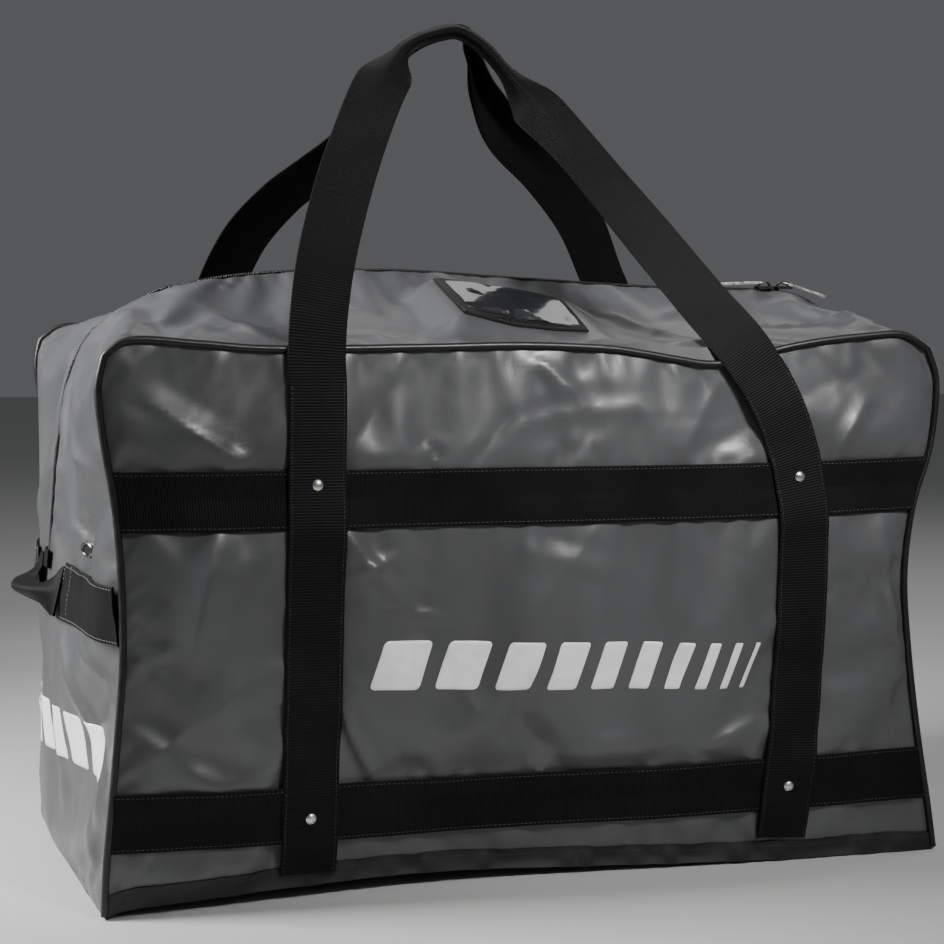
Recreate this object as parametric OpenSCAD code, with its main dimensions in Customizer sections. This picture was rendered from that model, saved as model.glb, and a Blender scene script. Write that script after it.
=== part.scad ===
// Hockey equipment bag: a coated-fabric carry bag with a zipped top, webbing handles and bands.
// +X runs along the bag, -Y is the front with the print, +Z is up. The origin is the centre of
// the base's underside, on the floor. All sizes are in millimetres.

/* [Bag] */
// Length of the front panel along X
bag_length = 810; // [760:5:900]
// Depth of the bag from front to rear
bag_depth = 430; // [390:5:480]
// Height of the front panel
panel_height = 485; // [460:5:520]
// Rise of the zip line above the panels' top edges
ridge_rise = 55; // [45:5:65]
// How far each end bulges out at its middle
end_bulge = 20; // [12:1:26]
// Radius of the panels' top corners
corner_radius = 50; // [40:1:55]
// Radius of the zip line's two corners
ridge_radius = 60; // [50:1:65]
// Thickness of the coated fabric
fabric = 2; // [1.5:0.5:2]
// Radius of the cord inside the edge piping
piping_radius = 3.5; // [2.5:0.5:3.5]
// Height of the black strip along the foot of the front and rear
hem_height = 30; // [20:1:34]

/* [Webbing] */
// Width of the webbing
webbing = 50.8; // [45:0.1:52]
// Thickness of the webbing
webbing_thick = 2.5; // [1.5:0.1:2.5]
// Distance from the bag's middle to each vertical strap
strap_x = 231; // [215:1:245]
// Height of the upper band's middle
upper_band_z = 355; // [345:1:360]
// Height of the lower band's middle
lower_band_z = 74; // [70:1:90]
// How far the front right strap leans in above its upper rivet
strap_lean = 46; // [0:1:50]
// Height of the handles' top above the floor
handle_height = 780; // [740:5:800]
// Width of the folded grip at a handle's top
grip_width = 26; // [20:1:34]

/* [Zip] */
// Height of the zip's lower ends
zip_foot_z = 288; // [284:1:290]
// Length of one slider
slider_length = 20; // [18:1:20]
// Length of one puller
puller_length = 52; // [30:1:56]
// Where the two closed sliders meet
slider_meet_x = 312.75; // [300:0.25:314]
// Left end of the part of the top that opens
mouth_left = -318; // [-318:1:-250]
// Right end of the part of the top that opens
mouth_right = 287; // [200:1:287]

/* [Window] */
// Width of the name-card window
window_width = 128; // [90:1:150]
// Height of the name-card window, up the slope of the top
window_height = 92; // [60:1:96]
// Place of the window's middle along X
window_x = -12; // [-60:1:60]

/* [End handles] */
// Height of the end handles' middle
end_handle_z = 258; // [254:1:260]
// Half the spread of an end handle's stitched roots
end_handle_half = 62; // [50:1:70]
// How far an end handle stands out from its roots
end_handle_reach = 30; // [24:1:34]

/* [Hidden] */
$fn = 48;

GREY = "dimgray";
BLACK = "#1c1c1e";
STEEL = "silver";
LEFT = -1;
RIGHT = 1;
FRONT = -1;
REAR = 1;

half_length = bag_length / 2;
half_depth = bag_depth / 2;
seam_y = half_depth - fabric;         // the gusset and the base lie between the two panels
ridge_z = panel_height + ridge_rise;
slope = atan2(ridge_rise, seam_y);    // slope of the top, up to the zip line
gap = 0.3;                            // clearance between pieces that move past each other
end_radius = (pow(half_depth, 2) + pow(end_bulge, 2)) / (2 * end_bulge);

band_out = half_depth + webbing_thick;           // outer face of the bands
strap_out = band_out + webbing_thick;            // outer face of the vertical straps
strap_top_z = panel_height + 8;
rivet_upper_z = upper_band_z + 13;
band_half = half_length - 5;

flap_foot = 1.4;     // the flap starts this far up the slope from the seam
flap_edge = 10;      // the flap stops this far from the zip line
tape_edge = 26;      // the zip tape's outer edge
teeth_edge = 4.5;    // where the tape meets the teeth
teeth_gap = 0.8;     // half the gap between the two rows of teeth
tape_thick = 1;
teeth_height = 4;
mouth_slack = 1;     // the moving top stops this far from the fixed corners

// ---- the gusset's curved surface -------------------------------------------------------------

// 0 at the seam with a panel, 1 at the zip line
function nearness(y) = 1 - abs(y) / seam_y;
function top_z(y) = panel_height + ridge_rise * nearness(y);
function end_x(y) = half_length + end_bulge * (1 - pow(y / half_depth, 2));
function turn(y) = corner_radius + (ridge_radius - corner_radius) * nearness(y);

ARC_STEPS = 8;

// One line along the gusset at depth y: up the end, round the corner and along the top to mouth_x.
// sink is how far below the outer surface the line lies.
function gusset_line(side, y, sink, foot_z, mouth_x) = concat(
    [[side * (end_x(y) - sink), y, foot_z]],
    [for (i = [0 : ARC_STEPS])
        let (a = 90 * i / ARC_STEPS, r = turn(y) - sink)
        [side * (end_x(y) - turn(y) + r * cos(a)), y, top_z(y) - turn(y) + r * sin(a)]],
    [[mouth_x, y, top_z(y) - sink]]
);

// A closed sheet between two grids of points that lie over each other
module sheet(outer, inner, flip = false) {
    rows = len(outer);
    cols = len(outer[0]);
    function at(layer, r, c) = layer * rows * cols + r * cols + c;
    function quad(a, b, c, d) = flip ? [[a, c, b], [a, d, c]] : [[a, b, c], [a, c, d]];
    faces = [
        for (r = [0 : rows - 2], c = [0 : cols - 2]) each concat(
            quad(at(0, r, c), at(0, r, c + 1), at(0, r + 1, c + 1), at(0, r + 1, c)),
            quad(at(1, r, c), at(1, r + 1, c), at(1, r + 1, c + 1), at(1, r, c + 1))),
        for (c = [0 : cols - 2]) each concat(
            quad(at(0, 0, c), at(1, 0, c), at(1, 0, c + 1), at(0, 0, c + 1)),
            quad(at(0, rows - 1, c), at(0, rows - 1, c + 1), at(1, rows - 1, c + 1), at(1, rows - 1, c))),
        for (r = [0 : rows - 2]) each concat(
            quad(at(0, r, 0), at(0, r + 1, 0), at(1, r + 1, 0), at(1, r, 0)),
            quad(at(0, r, cols - 1), at(1, r, cols - 1), at(1, r + 1, cols - 1), at(0, r + 1, cols - 1)))
    ];
    polyhedron(points = [for (layer = [outer, inner], row = layer) each row], faces = faces);
}

// A strip of the gusset from y_near to y_far on one end of the bag, between two depths
module gusset_strip(side, face, y_near, y_far, sink_out, sink_in, rows = 1) {
    mouth_x = side == LEFT ? mouth_left - mouth_slack : mouth_right + mouth_slack;
    ys = [for (r = [0 : rows]) face * (y_near + (y_far - y_near) * r / rows)];
    sheet(
        [for (y = ys) gusset_line(side, y, sink_out, zip_foot_z, mouth_x)],
        [for (y = ys) gusset_line(side, y, sink_in, zip_foot_z, mouth_x)],
        flip = side * face > 0
    );
}

// Puts its children on one slope of the top, with +Y up the slope from the seam and +Z outwards
module on_slope(face) {
    if (face == FRONT) {
        translate([0, -seam_y, panel_height]) rotate([slope, 0, 0]) children();
    } else {
        mirror([0, 1, 0]) on_slope(FRONT) children();
    }
}

slope_length = seam_y / cos(slope);

// A flat strip of one slope, from u0 to u1 up the slope, from z0 up to z1 above its surface
module slope_strip(face, u0, u1, z0, z1) {
    on_slope(face) translate([mouth_left, u0, z0]) cube([mouth_right - mouth_left, u1 - u0, z1 - z0]);
}

// ---- fabric ----------------------------------------------------------------------------------

// Outline of the front and rear panels, with round top corners
module panel_outline(grow = 0) {
    r = corner_radius + grow;
    for (side = [LEFT, RIGHT]) {
        translate([side * (half_length - corner_radius), panel_height - corner_radius]) circle(r);
    }
    translate([-half_length - grow, 0]) square([bag_length + 2 * grow, panel_height - corner_radius]);
    translate([corner_radius - half_length, 0]) {
        square([bag_length - 2 * corner_radius, panel_height + grow]);
    }
}

// Lays a drawing in XZ upright, with its thickness running from y_from towards the rear
module upright(y_from, thick) {
    translate([0, y_from + thick, 0]) rotate([90, 0, 0]) linear_extrude(thick) children();
}

rivet_spots = [
    for (side = [LEFT, RIGHT], z = [lower_band_z, rivet_upper_z]) [side * strap_x, z]
];

module rivet_holes() {
    for (p = rivet_spots) translate([p[0], 0, p[1]]) rotate([90, 0, 0]) cylinder(r = 2.6, h = 2 * bag_depth, center = true);
}

module panel(face) {
    color(GREY) difference() {
        upright(face == FRONT ? -half_depth : seam_y, fabric) panel_outline();
        rivet_holes();
    }
}

module base_panel() {
    color(BLACK) linear_extrude(fabric) {
        translate([-half_length, -seam_y]) square([bag_length, 2 * seam_y]);
        for (side = [LEFT, RIGHT]) end_layer(side, -seam_y, seam_y, 0, 2 * end_bulge);
    }
}

// Black strip sewn round the foot of the front or rear panel
module hem(face) {
    y = face == FRONT ? -half_depth - fabric : half_depth;
    color(BLACK) upright(y, fabric) translate([-band_half, 0]) square([2 * band_half, hem_height]);
}

// Plan of a layer that follows the bulged end, from sink_out to sink_in below its surface
module end_layer(side, y0, y1, sink_out, sink_in) {
    centre = side * (half_length + end_bulge - end_radius);
    intersection() {
        difference() {
            translate([centre, 0]) circle(end_radius - sink_out, $fn = 360);
            translate([centre, 0]) circle(end_radius - sink_in, $fn = 360);
        }
        translate([side > 0 ? half_length - fabric - 1 : -half_length - 2 * end_bulge, y0]) {
            square([2 * end_bulge + fabric + 1, y1 - y0]);
        }
    }
}

module end_panel(side) {
    color(GREY) translate([0, 0, fabric]) linear_extrude(zip_foot_z - fabric) {
        end_layer(side, -seam_y, seam_y, 0, fabric);
    }
}

// Oval air-vent eyelets, longer along the bag's depth than they are high
eyelet_y = 125;
eyelet_z = 304;
eyelet_hole = 4.2;
eyelet_barrel = 5.8;
eyelet_flange = 9;
eyelet_stretch = 1.3;
eyelet_squash = 0.85;

// Direction the bulged end faces at y, turned from the X axis
function end_turn(y) = atan(2 * end_bulge * y / pow(half_depth, 2));

module oval(radius, height) {
    scale([eyelet_squash, eyelet_stretch, 1]) cylinder(r = radius, h = height);
}

module at_eyelet(side, y) {
    translate([side * end_x(y), y, eyelet_z]) rotate([0, 0, side * end_turn(y)]) rotate([0, side * 90, 0])
        children();
}

module corner(side, face) {
    color(GREY) difference() {
        gusset_strip(side, face, seam_y, flap_edge, 0, fabric, rows = 5);
        at_eyelet(side, face * eyelet_y) translate([0, 0, -10]) oval(eyelet_barrel + 0.3, 20);
    }
}

module top_flap(face) {
    color(GREY) slope_strip(face, flap_foot, slope_length - flap_edge, -fabric, 0);
}

// Vinyl frame and clear pane of the name-card window, on the front slope
module on_window() {
    on_slope(FRONT) translate([window_x, slope_length / 2, 0]) children();
}

window_frame = 9;

module window_binding() {
    color(BLACK) on_window() difference() {
        translate([-window_width / 2, -window_height / 2, 0]) cube([window_width, window_height, 1.5]);
        translate([window_frame - window_width / 2, window_frame - window_height / 2, -1]) {
            cube([window_width - 2 * window_frame, window_height - 2 * window_frame, 4]);
        }
    }
}

module window_pane() {
    w = window_width - 2 * window_frame;
    h = window_height - 2 * window_frame;
    color("white", 0.5) on_window() translate([-w / 2, -h / 2, 0]) cube([w, h, 0.8]);
}

// ---- edge piping and the binding inside the seams --------------------------------------------

// A round cord of radius r along the panel's edge, grow outside the outline, at depth y
module edge_cord(y, r, grow, foot_z) {
    bend = corner_radius + grow;
    for (side = [LEFT, RIGHT]) {
        translate([side * (half_length + grow), y, foot_z]) {
            cylinder(r = r, h = panel_height - corner_radius - foot_z);
        }
        translate([side * (half_length - corner_radius), y, panel_height - corner_radius]) {
            rotate([90, side > 0 ? 0 : -90, 0]) rotate_extrude(angle = 90) translate([bend, 0]) circle(r);
        }
    }
    translate([corner_radius - half_length, y, panel_height + grow]) rotate([0, 90, 0]) {
        cylinder(r = r, h = bag_length - 2 * corner_radius);
    }
}

module piping(face) {
    color(BLACK) edge_cord(face * (half_depth - 1), piping_radius, piping_radius + 0.9, 4);
}

// Flat tape that covers the raw seam inside, a hoop along the panel's edge
module seam_binding(face) {
    width = 9;
    thick = 1.5;
    y = face == FRONT ? -seam_y : seam_y - thick;
    color(BLACK) upright(y, thick) intersection() {
        difference() {
            panel_outline(-fabric - 0.5);
            panel_outline(-fabric - 0.5 - width);
        }
        translate([-half_length, 6]) square([bag_length, panel_height]);
    }
}

// ---- webbing ---------------------------------------------------------------------------------

module band(face, z) {
    y = face == FRONT ? -band_out : half_depth;
    color(BLACK) difference() {
        upright(y, webbing_thick) translate([-band_half, z - webbing / 2]) square([2 * band_half, webbing]);
        rivet_holes();
    }
}

// Vertical strap, sewn from the hem up to its top end, which may lean in above the upper rivet
module strap(face, side, lean) {
    y = face == FRONT ? -strap_out : band_out;
    half = webbing / 2;
    bend_z = upper_band_z + webbing / 2 + 8;
    color(BLACK) difference() {
        upright(y, webbing_thick) translate([side * strap_x, 0]) polygon([
            [-half, hem_height + 1], [half, hem_height + 1], [half, bend_z],
            [half - side * lean, strap_top_z], [-half - side * lean, strap_top_z], [-half, bend_z]
        ]);
        rivet_holes();
    }
}

// Tubular rivet: domed head outside, shank through the layers, rolled end inside
module rivets(face) {
    color(STEEL) for (p = rivet_spots) {
        translate([p[0], face * strap_out, p[1]]) rotate([face == FRONT ? 90 : -90, 0, 0]) {
            rotate_extrude() polygon([
                [0, 2.6], [1.6, 2.5], [3.2, 2], [4.4, 1.2], [5, 0.1],
                [2.4, 0.1], [2.4, -8.6], [3.4, -8.6], [3.4, -9.6], [0, -9.6]
            ]);
        }
    }
}

module rivet_washers(face) {
    inside_y = seam_y - 0.1;
    color(STEEL) for (p = rivet_spots) {
        translate([p[0], face * inside_y, p[1]]) rotate([face == FRONT ? -90 : 90, 0, 0]) difference() {
            cylinder(r = 5.5, h = 1.3);
            translate([0, 0, -1]) cylinder(r = 2.6, h = 4);
        }
    }
}

// Webbing patch that holds one root of an end handle
module end_patch(side, face) {
    outer_y = seam_y - 8;
    inner_y = end_handle_half - 4;
    y0 = face == FRONT ? -outer_y : inner_y;
    color(BLACK) translate([0, 0, end_handle_z - webbing / 2]) linear_extrude(webbing) {
        end_layer(side, y0, y0 + outer_y - inner_y, -webbing_thick, 0);
    }
}

// ---- eyelets ---------------------------------------------------------------------------------

module eyelets(side) {
    color(STEEL) for (y = [-eyelet_y, eyelet_y]) {
        at_eyelet(side, y) difference() {
            union() {
                translate([0, 0, 0.9]) oval(eyelet_flange, 1);
                translate([0, 0, -fabric - 1.9]) oval(eyelet_flange, 1);
                translate([0, 0, -fabric - 1.9]) oval(eyelet_barrel, fabric + 3.8);
            }
            translate([0, 0, -10]) oval(eyelet_hole, 20);
        }
    }
}

// ---- zip -------------------------------------------------------------------------------------

module zip_tape_end(side) {
    color(BLACK) for (face = [FRONT, REAR]) {
        gusset_strip(side, face, tape_edge, teeth_edge, fabric + gap, fabric + gap + tape_thick);
    }
}

module zip_teeth_end(side) {
    color(BLACK) for (face = [FRONT, REAR]) {
        gusset_strip(side, face, teeth_edge, teeth_gap, 0.5, 0.5 + teeth_height);
    }
}

module zip_tape_top(face) {
    color(BLACK) slope_strip(face, slope_length - tape_edge, slope_length - teeth_edge,
                             -fabric - tape_thick, -fabric);
}

module zip_teeth_top(face) {
    color(BLACK) slope_strip(face, slope_length - teeth_edge, slope_length - teeth_gap - 0.9,
                             -0.5 - teeth_height, -0.5);
}

// Webbing tab sewn over the zip's lower end
module zip_end_tab(side) {
    tab = [3, 34, 14];
    x = side * (half_length + end_bulge + 0.2) - (side > 0 ? 0 : tab[0]);
    color(BLACK) translate([x, -tab[1] / 2, zip_foot_z - tab[2] - 1]) cube(tab);
}

slider_half = slider_length / 2;
slider_gap = 0.75;
slider_width = 15;
plate = 2.2;
web = 0.9;
slider_top_z = ridge_z + 1 + plate;
slider_foot_z = ridge_z - 8.6;
pivot_z = slider_top_z + 2.6;
pin_radius = 0.95;

function slider_x(side) = slider_meet_x + side * (slider_half + slider_gap);

// Two plates joined by a thin web that runs between the rows of teeth, with a pin across lugs on top
module slider(side) {
    color(BLACK) translate([slider_x(side), 0, 0]) {
        translate([-slider_half, -slider_width / 2, slider_top_z - plate]) cube([slider_length, slider_width, plate]);
        translate([-slider_half, -slider_width / 2, slider_foot_z - plate]) cube([slider_length, slider_width, plate]);
        translate([-slider_half, -web / 2, slider_foot_z - 0.5]) {
            cube([slider_length, web, slider_top_z - slider_foot_z - 0.5]);
        }
        for (face = [FRONT, REAR]) translate([-2.2, face * 4.4 - 0.9, slider_top_z - 0.3]) cube([4.4, 1.8, 4.4]);
        translate([0, 0, pivot_z]) rotate([90, 0, 0]) cylinder(r = pin_radius, h = 8, center = true);
    }
}

// Flat bar with an eye round the slider's pin and a hole near its tip
module puller(side) {
    eye = 2.15;
    bar_thick = 2.4;
    bar_width = 9;
    tip = puller_length - bar_width / 2;
    color(STEEL) translate([slider_x(side), 0, pivot_z]) mirror([side > 0 ? 0 : 1, 0, 0]) difference() {
        union() {
            rotate([90, 0, 0]) cylinder(r = eye, h = 6, center = true);
            translate([0, -3, -bar_thick / 2]) cube([7, 6, bar_thick]);
            translate([6, -bar_width / 2, -bar_thick / 2]) cube([tip - 6, bar_width, bar_thick]);
            translate([tip, 0, -bar_thick / 2]) cylinder(r = bar_width / 2, h = bar_thick);
        }
        rotate([90, 0, 0]) cylinder(r = pin_radius + 0.05, h = 20, center = true);
        translate([tip, 0, -5]) cylinder(r = 1.8, h = 10);
    }
}

// ---- carrying handles ------------------------------------------------------------------------

handle_pivot_y = strap_out + 1;
handle_pivot_z = strap_top_z + 3;
handle_top_y = 12;
handle_tilt = atan2(handle_pivot_y - handle_top_y, handle_height - handle_pivot_z);
handle_reach = (handle_height - handle_pivot_z) / cos(handle_tilt) - grip_width / 2;

// Middle line of each loop in its own plane: [x, share of the reach, share of the grip's fold]
front_loop = [
    [-strap_x, 0, 0], [-222, 0.2, 0], [-192, 0.46, 0], [-155, 0.7, 0.1], [-112, 0.9, 0.6],
    [-45, 1, 1], [8, 0.87, 0.6], [42, 0.68, 0.1], [72, 0.49, 0], [112, 0.29, 0],
    [strap_x - strap_lean - 16, 0.09, 0], [strap_x - strap_lean, 0, 0]
];
rear_loop = [
    [-strap_x, 0, 0], [-226, 0.16, 0], [-203, 0.32, 0], [-160, 0.5, 0], [-108, 0.72, 0.3],
    [-66, 0.9, 0.7], [-34, 1, 1], [-2, 0.9, 0.7], [28, 0.74, 0.3], [76, 0.61, 0],
    [128, 0.49, 0], [170, 0.34, 0], [212, 0.16, 0], [strap_x, 0, 0]
];

// A point a share t of the way from b to c on a smooth curve through a, b, c and d
function smooth(a, b, c, d, t) =
    0.5 * (2 * b + (c - a) * t + (2 * a - 5 * b + 4 * c - d) * t * t + (3 * b - a - 3 * c + d) * pow(t, 3));

function smooth_line(p, steps) = concat(
    [for (i = [0 : len(p) - 2], s = [0 : steps - 1])
        smooth(p[max(i - 1, 0)], p[i], p[i + 1], p[min(i + 2, len(p) - 1)], s / steps)],
    [p[len(p) - 1]]
);

function unit(v) = v / norm(v);

// Flat loop of webbing in the XY plane, thick along Z; the ends are cut along X
module flat_loop(points, thick) {
    line = smooth_line(points, 3);
    last = len(line) - 1;
    mid = [for (p = line) [p[0], p[1] * handle_reach]];
    across = [for (i = [0 : last])
        i == 0 ? [-1, 0]
        : i == last ? [1, 0]
        : let (t = unit(mid[i + 1] - mid[i - 1])) [-t[1], t[0]]];
    half = [for (p = line) (webbing + (grip_width - webbing) * min(max(p[2], 0), 1)) / 2];
    rim = [for (i = [0 : last]) [mid[i] + across[i] * half[i], mid[i] - across[i] * half[i]]];
    sheet(
        [for (e = [0, 1]) [for (r = rim) [r[e][0], r[e][1], thick / 2]]],
        [for (e = [0, 1]) [for (r = rim) [r[e][0], r[e][1], -thick / 2]]]
    );
}

module handle(face, points) {
    color(BLACK) mirror([0, face == FRONT ? 0 : 1, 0]) {
        translate([0, -handle_pivot_y, handle_pivot_z]) rotate([90 - handle_tilt, 0, 0]) {
            flat_loop(points, webbing_thick);
        }
    }
}

// Grab loop on one end: webbing folded narrow at the grip, pinched where it is stitched down
module end_handle(side) {
    pivot_x = end_x(end_handle_half) + webbing_thick + 1.6;
    steps = 12;
    thick = 2.5;
    sheet_rows = [for (i = [0 : steps])
        let (
            s = i / steps,
            out = sin(180 * s),
            y = -end_handle_half * cos(180 * s),
            half = 1.5 + 11 * min(1, out * 1.6)
        )
        [side * (pivot_x + end_handle_reach * out), y, half]];
    function rail(k, up) = [for (p = sheet_rows) [p[0] + side * k, p[1], end_handle_z + up * p[2]]];
    color(BLACK) sheet([rail(thick / 2, -1), rail(thick / 2, 1)],
                       [rail(-thick / 2, -1), rail(-thick / 2, 1)], flip = side > 0);
}

// ---- nodes -----------------------------------------------------------------------------------

base_panel();
hem(FRONT);  // hem_front
hem(REAR);  // hem_rear
panel(FRONT);  // front_panel
panel(REAR);  // rear_panel
end_panel(LEFT);  // end_panel_left
end_panel(RIGHT);  // end_panel_right
corner(LEFT, FRONT);  // corner_left_front
corner(LEFT, REAR);  // corner_left_rear
corner(RIGHT, FRONT);  // corner_right_front
corner(RIGHT, REAR);  // corner_right_rear
piping(FRONT);  // piping_front
piping(REAR);  // piping_rear
seam_binding(FRONT);  // seam_binding_front
seam_binding(REAR);  // seam_binding_rear
band(FRONT, upper_band_z);  // band_upper_front
band(FRONT, lower_band_z);  // band_lower_front
band(REAR, upper_band_z);  // band_upper_rear
band(REAR, lower_band_z);  // band_lower_rear
strap(FRONT, LEFT, 0);  // strap_front_left
strap(FRONT, RIGHT, strap_lean);  // strap_front_right
strap(REAR, LEFT, 0);  // strap_rear_left
strap(REAR, RIGHT, 0);  // strap_rear_right
rivets(FRONT);  // rivets_front
rivets(REAR);  // rivets_rear
rivet_washers(FRONT);  // rivet_washers_front
rivet_washers(REAR);  // rivet_washers_rear
eyelets(LEFT);  // eyelets_left
eyelets(RIGHT);  // eyelets_right
zip_tape_end(LEFT);  // zip_tape_left
zip_tape_end(RIGHT);  // zip_tape_right
zip_teeth_end(LEFT);  // zip_teeth_left
zip_teeth_end(RIGHT);  // zip_teeth_right
zip_end_tab(LEFT);  // zip_end_tab_left
zip_end_tab(RIGHT);  // zip_end_tab_right
end_patch(LEFT, FRONT);  // end_patch_left_front
end_patch(LEFT, REAR);  // end_patch_left_rear
end_patch(RIGHT, FRONT);  // end_patch_right_front
end_patch(RIGHT, REAR);  // end_patch_right_rear
top_flap(FRONT);  // top_flap_front
zip_tape_top(FRONT);  // zip_tape_front
zip_teeth_top(FRONT);  // zip_teeth_front
window_binding();
window_pane();
top_flap(REAR);  // top_flap_rear
zip_tape_top(REAR);  // zip_tape_rear
zip_teeth_top(REAR);  // zip_teeth_rear
slider(LEFT);  // slider_left
slider(RIGHT);  // slider_right
puller(LEFT);  // puller_left
puller(RIGHT);  // puller_right
handle(FRONT, front_loop);  // handle_front
handle(REAR, rear_loop);  // handle_rear
end_handle(LEFT);  // end_handle_left
end_handle(RIGHT);  // end_handle_right
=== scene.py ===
"""Hockey equipment bag: the looks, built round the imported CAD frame.

The grey skin is one lofted shell between its two piped seams, settled by a cloth simulation that is
held along the seams, the zip line and the webbing, and then cut into the bag's panels. Webbing,
piping, zip, window, eyelets and print are draped on the settled skin.
Metres throughout; +X along the bag, -Y the printed front, +Z up.
"""
import math

import bpy
import numpy as np
from mathutils import Euler, Matrix, Vector
from mathutils.bvhtree import BVHTree


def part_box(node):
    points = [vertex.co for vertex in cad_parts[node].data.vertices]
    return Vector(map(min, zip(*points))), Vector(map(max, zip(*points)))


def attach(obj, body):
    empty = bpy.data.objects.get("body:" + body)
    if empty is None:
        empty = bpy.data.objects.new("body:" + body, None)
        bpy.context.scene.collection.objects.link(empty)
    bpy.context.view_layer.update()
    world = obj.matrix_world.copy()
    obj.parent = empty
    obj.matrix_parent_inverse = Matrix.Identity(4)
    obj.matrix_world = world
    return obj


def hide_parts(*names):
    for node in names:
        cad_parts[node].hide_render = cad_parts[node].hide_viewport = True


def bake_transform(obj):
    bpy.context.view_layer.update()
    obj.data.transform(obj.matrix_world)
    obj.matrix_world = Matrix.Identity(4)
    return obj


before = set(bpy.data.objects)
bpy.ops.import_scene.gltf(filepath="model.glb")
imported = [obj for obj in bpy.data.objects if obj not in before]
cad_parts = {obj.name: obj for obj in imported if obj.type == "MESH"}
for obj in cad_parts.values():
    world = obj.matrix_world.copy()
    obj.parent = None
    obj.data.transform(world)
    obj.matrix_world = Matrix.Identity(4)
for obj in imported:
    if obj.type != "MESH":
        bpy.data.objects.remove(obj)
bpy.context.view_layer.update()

MM = 0.001
ROOT = "bag"
FRONT, REAR, LEFT, RIGHT = -1, 1, -1, 1

# ---- sizes taken from the frame --------------------------------------------------------------

flap_low, flap_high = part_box("top_flap_front")
HALF_DEPTH = -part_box("front_panel")[0].y
MOUTH_LEFT, MOUTH_RIGHT = flap_low.x, flap_high.x
FACES = {"front": FRONT, "rear": REAR}
ZIP_FOOT_Z = 0.29              # the zip's lower ends
MOUTH_FADE = 0.17              # MOUTH_FADE = 0.17 # distance from each end of the mouth to the second point given in FADE
WEB, WEB_THICK = 0.0508, 0.0025
STRAP_X = 0.231
BAND_Z = {"upper": 0.355, "lower": 0.074}

# ---- small helpers ---------------------------------------------------------------------------


def curve_through(rows, steps):
    """Rows of numbers with steps times as many spans, on a smooth curve through the given rows."""
    e = np.concatenate([2 * rows[:1] - rows[1:2], rows, 2 * rows[-1:] - rows[-2:-1]])
    a, b, c, d = e[:-3], e[1:-2], e[2:-1], e[3:]
    out = np.zeros((steps * (len(rows) - 1) + 1,) + rows.shape[1:])
    for k in range(steps):
        t = k / steps
        out[k:-1:steps] = 0.5 * (2 * b + (c - a) * t + (2 * a - 5 * b + 4 * c - d) * t ** 2
                                 + (3 * b - a - 3 * c + d) * t ** 3)
    out[-1] = rows[-1]
    return out


def distances(path):
    """Distance along a path to each of its points."""
    return np.concatenate([[0], np.cumsum(np.linalg.norm(np.diff(path, axis=0), axis=1))])


def read_along(want, at, columns):
    """Each column of numbers known at the distances in at, read off at the wanted distances."""
    return np.stack([np.interp(want, at, columns[:, k]) for k in range(columns.shape[1])], -1)


def resample(line, count):
    """The same line with count + 1 evenly spaced points; columns after the third ride along."""
    at = distances(line[:, :3])
    return read_along(np.linspace(0, at[-1], count + 1), at, line)


def smooth_path(points, count):
    """count + 1 points, evenly spaced, on a smooth curve through the given points."""
    return resample(curve_through(np.array(points, float), 12), count)


def quads(ids, flip=False):
    """Faces between neighbouring rows and columns of point numbers."""
    q = np.stack([ids[:-1, :-1], ids[:-1, 1:], ids[1:, 1:], ids[1:, :-1]], -1).reshape(-1, 4)
    return q[:, ::-1] if flip else q


def grid_faces(rows, cols, start=0, flip=False):
    """Faces of a grid of points numbered row by row."""
    return quads(start + np.arange(rows * cols).reshape(rows, cols), flip)


def loop_faces(rows, cols):
    """Faces between rings of points: each row closes on itself."""
    ids = np.arange(rows * cols).reshape(rows, cols)
    return quads(np.hstack([ids, ids[:, :1]]))


def new_mesh(name, points, faces, key=None, uvs=None, flat=0, normals=None):
    """A mesh object, smooth shaded but for its last flat faces; normals are per point."""
    mesh = bpy.data.meshes.new(name)
    mesh.from_pydata([tuple(p) for p in np.asarray(points, float)], [],
                     [tuple(int(k) for k in f) for f in faces])
    corner = np.array([l.vertex_index for l in mesh.loops])
    if uvs is not None:
        layer = mesh.uv_layers.new(name="UVMap")
        layer.data.foreach_set("uv", np.asarray(uvs, np.float32)[corner].ravel())
    smooth = np.ones(len(mesh.polygons), bool)
    smooth[len(smooth) - flat:] = False
    mesh.polygons.foreach_set("use_smooth", smooth)
    mesh.update()
    if normals is not None:
        given = np.asarray(normals, float)[corner]
        if flat:
            given[mesh.polygons[len(smooth) - flat].loop_start:] = 0
        mesh.normals_split_custom_set([tuple(v) for v in given])
    if key is not None:
        mesh.materials.append(MAT[key])
    obj = bpy.data.objects.new(name, mesh)
    bpy.context.scene.collection.objects.link(obj)
    return obj


def unit(v):
    return v / np.maximum(np.linalg.norm(v, axis=-1, keepdims=True), 1e-12)


def eased(share):
    """A share from 0 to 1 that starts and ends gently."""
    return share * share * (3 - 2 * share)


def turned_to(n, out):
    """The normals, each turned over where it looks away from out."""
    return np.where((n @ np.array(out, float))[..., None] < 0, -n, n)


def spread(a, radius, axis):
    """Largest value within radius steps along the axis, then smoothed over the same width."""
    pad = [(0, 0)] * a.ndim
    pad[axis] = (2 * radius, 2 * radius)
    p = np.pad(a, pad, mode="edge")
    count = a.shape[axis] + 2 * radius
    widest = np.max([np.take(p, range(k, k + count), axis) for k in range(2 * radius + 1)], 0)
    return np.mean([np.take(widest, range(k, k + a.shape[axis]), axis) for k in range(2 * radius + 1)], 0)


# ---- the seams and the zip line, in millimetres, as [x, z] -----------------------------------

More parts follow.
